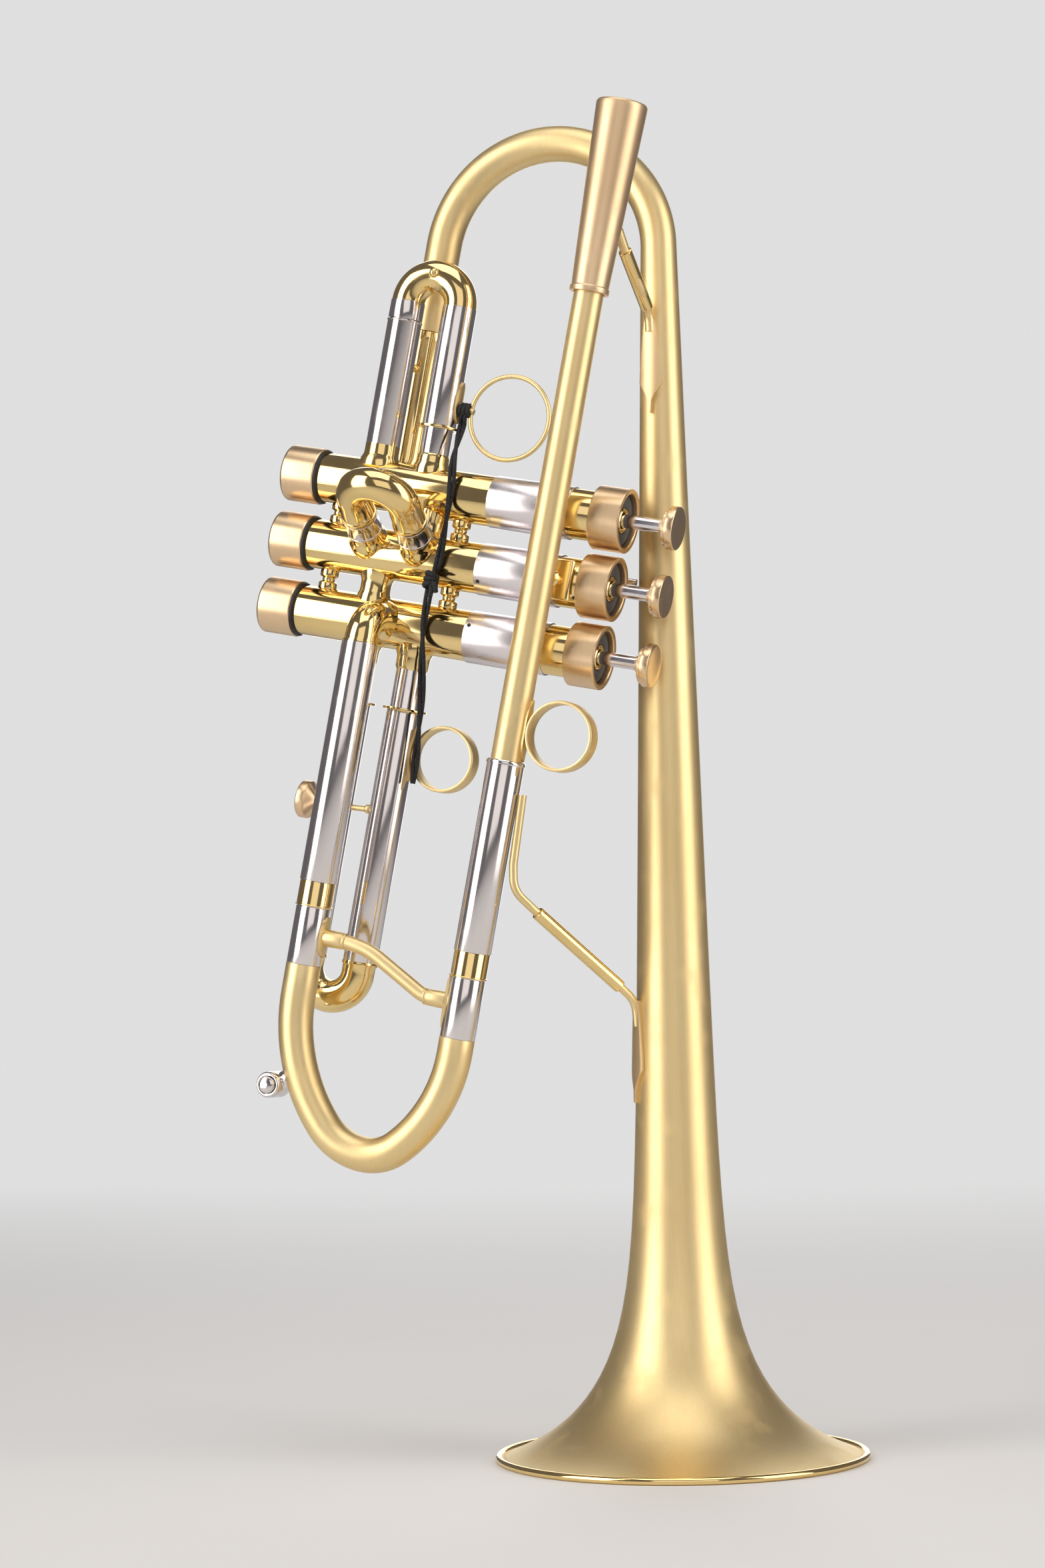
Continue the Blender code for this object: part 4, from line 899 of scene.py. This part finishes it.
def make_leadpipe_ring():
    pipe_piece = bpy.data.objects["leadpipe"]
    finger_ring("leadpipe_finger_ring", vec(49.9, FRONT, -54.7), 12.4, 1.2, 7.0, "body", "leadpipe_ring")
    settle(leaf("leadpipe_ring_leaf", LONG_LEAF, 22.0, 0.9, HORN_BENCH, vec(LEG_X + 6.9, FRONT, -54.7), -Z, X,
                pipe_piece), None, "satin", "body", "leadpipe_ring")


# Braces -------------------------------------------------------------------------------------

SPEAR = [3.6, 5.0, 5.9, 6.6, 7.2, 7.8, 8.3, 8.8, 9.3, 9.8, 10.2, 10.5, 7.0, 3.6, 1.2, 0.9, 0.5]


def spear_foot(name, length, height, turn, shell, node):
    facing = vec(sin(turn), -cos(turn), 0.0)
    foot = leaf(name, SPEAR, length, 1.5, BELL_BENCH, on_bell(turn, height, 1.5), -Z, facing, shell)
    settle(foot, None, "foot_satin", "body", node, edge=0.45)


def brace_sleeve(name, start, end, node):
    along = (end - start).normalized()
    length = (end - start).length
    tube = [(0.0, 1.8), (0.0, 2.1), (0.15, 2.35), (0.4, 2.4), (0.7, 2.4), (length - 0.7, 2.4),
            (length - 0.4, 2.4), (length - 0.15, 2.35), (length, 2.1), (length, 1.8), (length, 1.2),
            (0.0, 1.2)]
    settle(lathe(name, start, along, tube, 48, True), BELL_BENCH, "bright", "body", node)


def make_bell_braces(shell):
    node, turn = "upper_bell_brace", radians(-10)
    foot = on_bell(turn, 406.0, 1.2)
    line = [vec(-3.4, -35.3, 431.0), vec(-2.6, -30.0, 424.0), vec(-1.0, -18.0, 413.0), foot,
            on_bell(turn, 400.0, 0.6)]
    settle(rod("upper_brace_rod", line, 1.7, 7.0), BELL_BENCH, "satin", "body", node)
    brace_sleeve("upper_brace_sleeve", line[1].lerp(line[2], -0.05), line[2].lerp(foot, 0.72), node)
    spear_foot("upper_brace_foot", 35.0, 388.0, turn, shell, node)

    node, turn = "lower_bell_brace", radians(-52)
    foot = on_bell(turn, 160.5, 1.3)
    line = [vec(-39.3, -45.0, 233.0), vec(-43.2, -45.0, 209.0), vec(-43.4, -44.5, 200.0),
            vec(-38.2, -41.0, 194.0), vec(-25.5, -26.0, 178.5), vec(-15.5, -13.6, 166.0), foot,
            on_bell(turn, 152.0, 0.6)]
    settle(rod("lower_brace_rod", line, 1.5, 12.0), BELL_BENCH, "satin", "body", node)
    brace_sleeve("lower_brace_sleeve", line[3].lerp(line[4], 0.12), line[5], node)
    spear_foot("lower_brace_foot", 36.0, 143.0, turn, shell, node)


def make_valve_braces():
    node, face = "leadpipe_valve_brace", -BARREL
    pick()
    bpy.ops.mesh.primitive_cube_add(size=1.0)
    plate = bpy.context.object
    plate.name = plate.data.name = "valve_brace_plate"
    bpy.ops.object.mode_set(mode="EDIT")
    bpy.ops.mesh.select_all(action="SELECT")
    bpy.ops.transform.resize(value=(12 * MM, 1.5 * MM, 15.6 * MM))
    select_where(plate, lambda place: place.y < 0)
    bpy.ops.transform.resize(value=(0.86, 1.0, 0.9), center_override=(0.0, -0.75 * MM, 0.0))
    bpy.ops.mesh.select_all(action="SELECT")
    bpy.ops.transform.translate(value=(33.3 * MM, (face - 0.75) * MM, 0.0))
    bpy.ops.object.mode_set(mode="OBJECT")
    work_with(plate, "BEVEL", width=0.6 * MM, segments=3, limit_method="ANGLE", angle_limit=radians(30))
    settle(plate, HORN_BENCH, "bright", "body", node)
    post = [(-FRONT - 5.0, 2.9), (-FRONT - 6.6, 2.9), (-FRONT - 7.0, 2.4), (BARREL + 2.2, 2.4),
            (BARREL + 1.4, 3.2)]
    settle(lathe("valve_brace_post", vec(LEG_X, 0, 0), -Y, post, 32), HORN_BENCH, "bright", "body", node)
    line = [vec(26.0, 9.0, 4.3), vec(29.5, 13.2, 4.3), vec(41.0, 14.9, 4.3), vec(53.6, 16.4, 4.3)]
    settle(rod("valve_bell_rod", line, 1.6, 6.0), HORN_BENCH, "nickel", "body", "valve_bell_brace")


# Studio -------------------------------------------------------------------------------------

def make_floor():
    finish = Finish("studio_floor")
    centre = finish.node("ShaderNodeVectorMath", {"operation": "LENGTH"}, {0: finish.place}, "Value")
    grain = finish.noise(9.0, 4.0)
    tone = finish.mix(grain * 0.5, (0.80, 0.79, 0.78, 1.0), (0.76, 0.75, 0.74, 1.0))
    finish.set(Base_Color=tone, Roughness=0.75, Alpha=1.0 - finish.range(centre, 0.4, 1.9))
    pick()
    bpy.ops.mesh.primitive_circle_add(vertices=96, radius=3.4, fill_type="NGON", location=(0.0, 0.0, 0.0))
    floor = bpy.context.object
    floor.name = floor.data.name = "studio_floor"
    bpy.ops.object.mode_set(mode="EDIT")
    bpy.ops.mesh.select_all(action="SELECT")
    bpy.ops.mesh.inset(thickness=1.2)
    bpy.ops.mesh.inset(thickness=1.0)
    bpy.ops.object.mode_set(mode="OBJECT")
    floor.data.materials.append(finish.material)


def soft_box(name, turn, distance, height, width, tall, power, colour=(1.0, 1.0, 1.0)):
    """A soft box aimed at the horn; turn goes round from -Y towards +X."""
    lamp = bpy.data.lights.new(name, "AREA")
    lamp.shape, lamp.size, lamp.size_y, lamp.energy, lamp.color = "RECTANGLE", width, tall, power, colour
    place = vec(distance * sin(turn), -distance * cos(turn), height)
    light = bpy.data.objects.new(name, lamp)
    light.location = place
    light.rotation_euler = (vec(0, 0, 0.26) - place).to_track_quat("-Z", "Y").to_euler()
    bpy.context.scene.collection.objects.link(light)


def make_light():
    soft_box("left_box", radians(-42), 1.6, 0.7, 1.0, 2.0, 22.0, (1.0, 0.97, 0.93))
    soft_box("right_box", radians(84), 1.6, 0.6, 1.0, 2.0, 17.0, (1.0, 0.96, 0.9))
    soft_box("front_fill", radians(20), 2.3, 0.9, 1.7, 1.5, 7.0, (1.0, 0.96, 0.93))
    soft_box("top_box", radians(20), 0.5, 1.9, 1.4, 1.4, 11.0)
    soft_box("back_box", radians(195), 1.9, 0.9, 1.2, 1.8, 10.0)
    world = bpy.data.worlds.new("studio_air")
    world.use_nodes = True
    tree = world.node_tree
    seen, air = tree.nodes.new("ShaderNodeLightPath"), tree.nodes["Background"]
    plain = tree.nodes.new("ShaderNodeMix")
    plain.data_type = "RGBA"
    plain.inputs[6].default_value = (0.15, 0.14, 0.145, 1.0)
    plain.inputs[7].default_value = (0.74, 0.74, 0.74, 1.0)
    tree.links.new(seen.outputs["Is Camera Ray"], plain.inputs[0])
    tree.links.new(plain.outputs[2], air.inputs["Color"])
    bpy.context.scene.world = world
    bpy.context.scene.view_settings.view_transform = "Standard"


# Making -------------------------------------------------------------------------------------

set_camera()
finishes = make_finishes()
make_keeper_cord()
bell_shell = make_bell()
make_tail_port()
make_leadpipe()
make_outer_sleeves()
make_elbow()
make_main_slide()
make_valves()
make_springs()
make_links()
make_first_slide()
make_first_brace()
make_second_slide()
make_third_slide()
make_leadpipe_ring()
make_bell_braces(bell_shell)
make_valve_braces()
make_floor()
make_light()
pick()
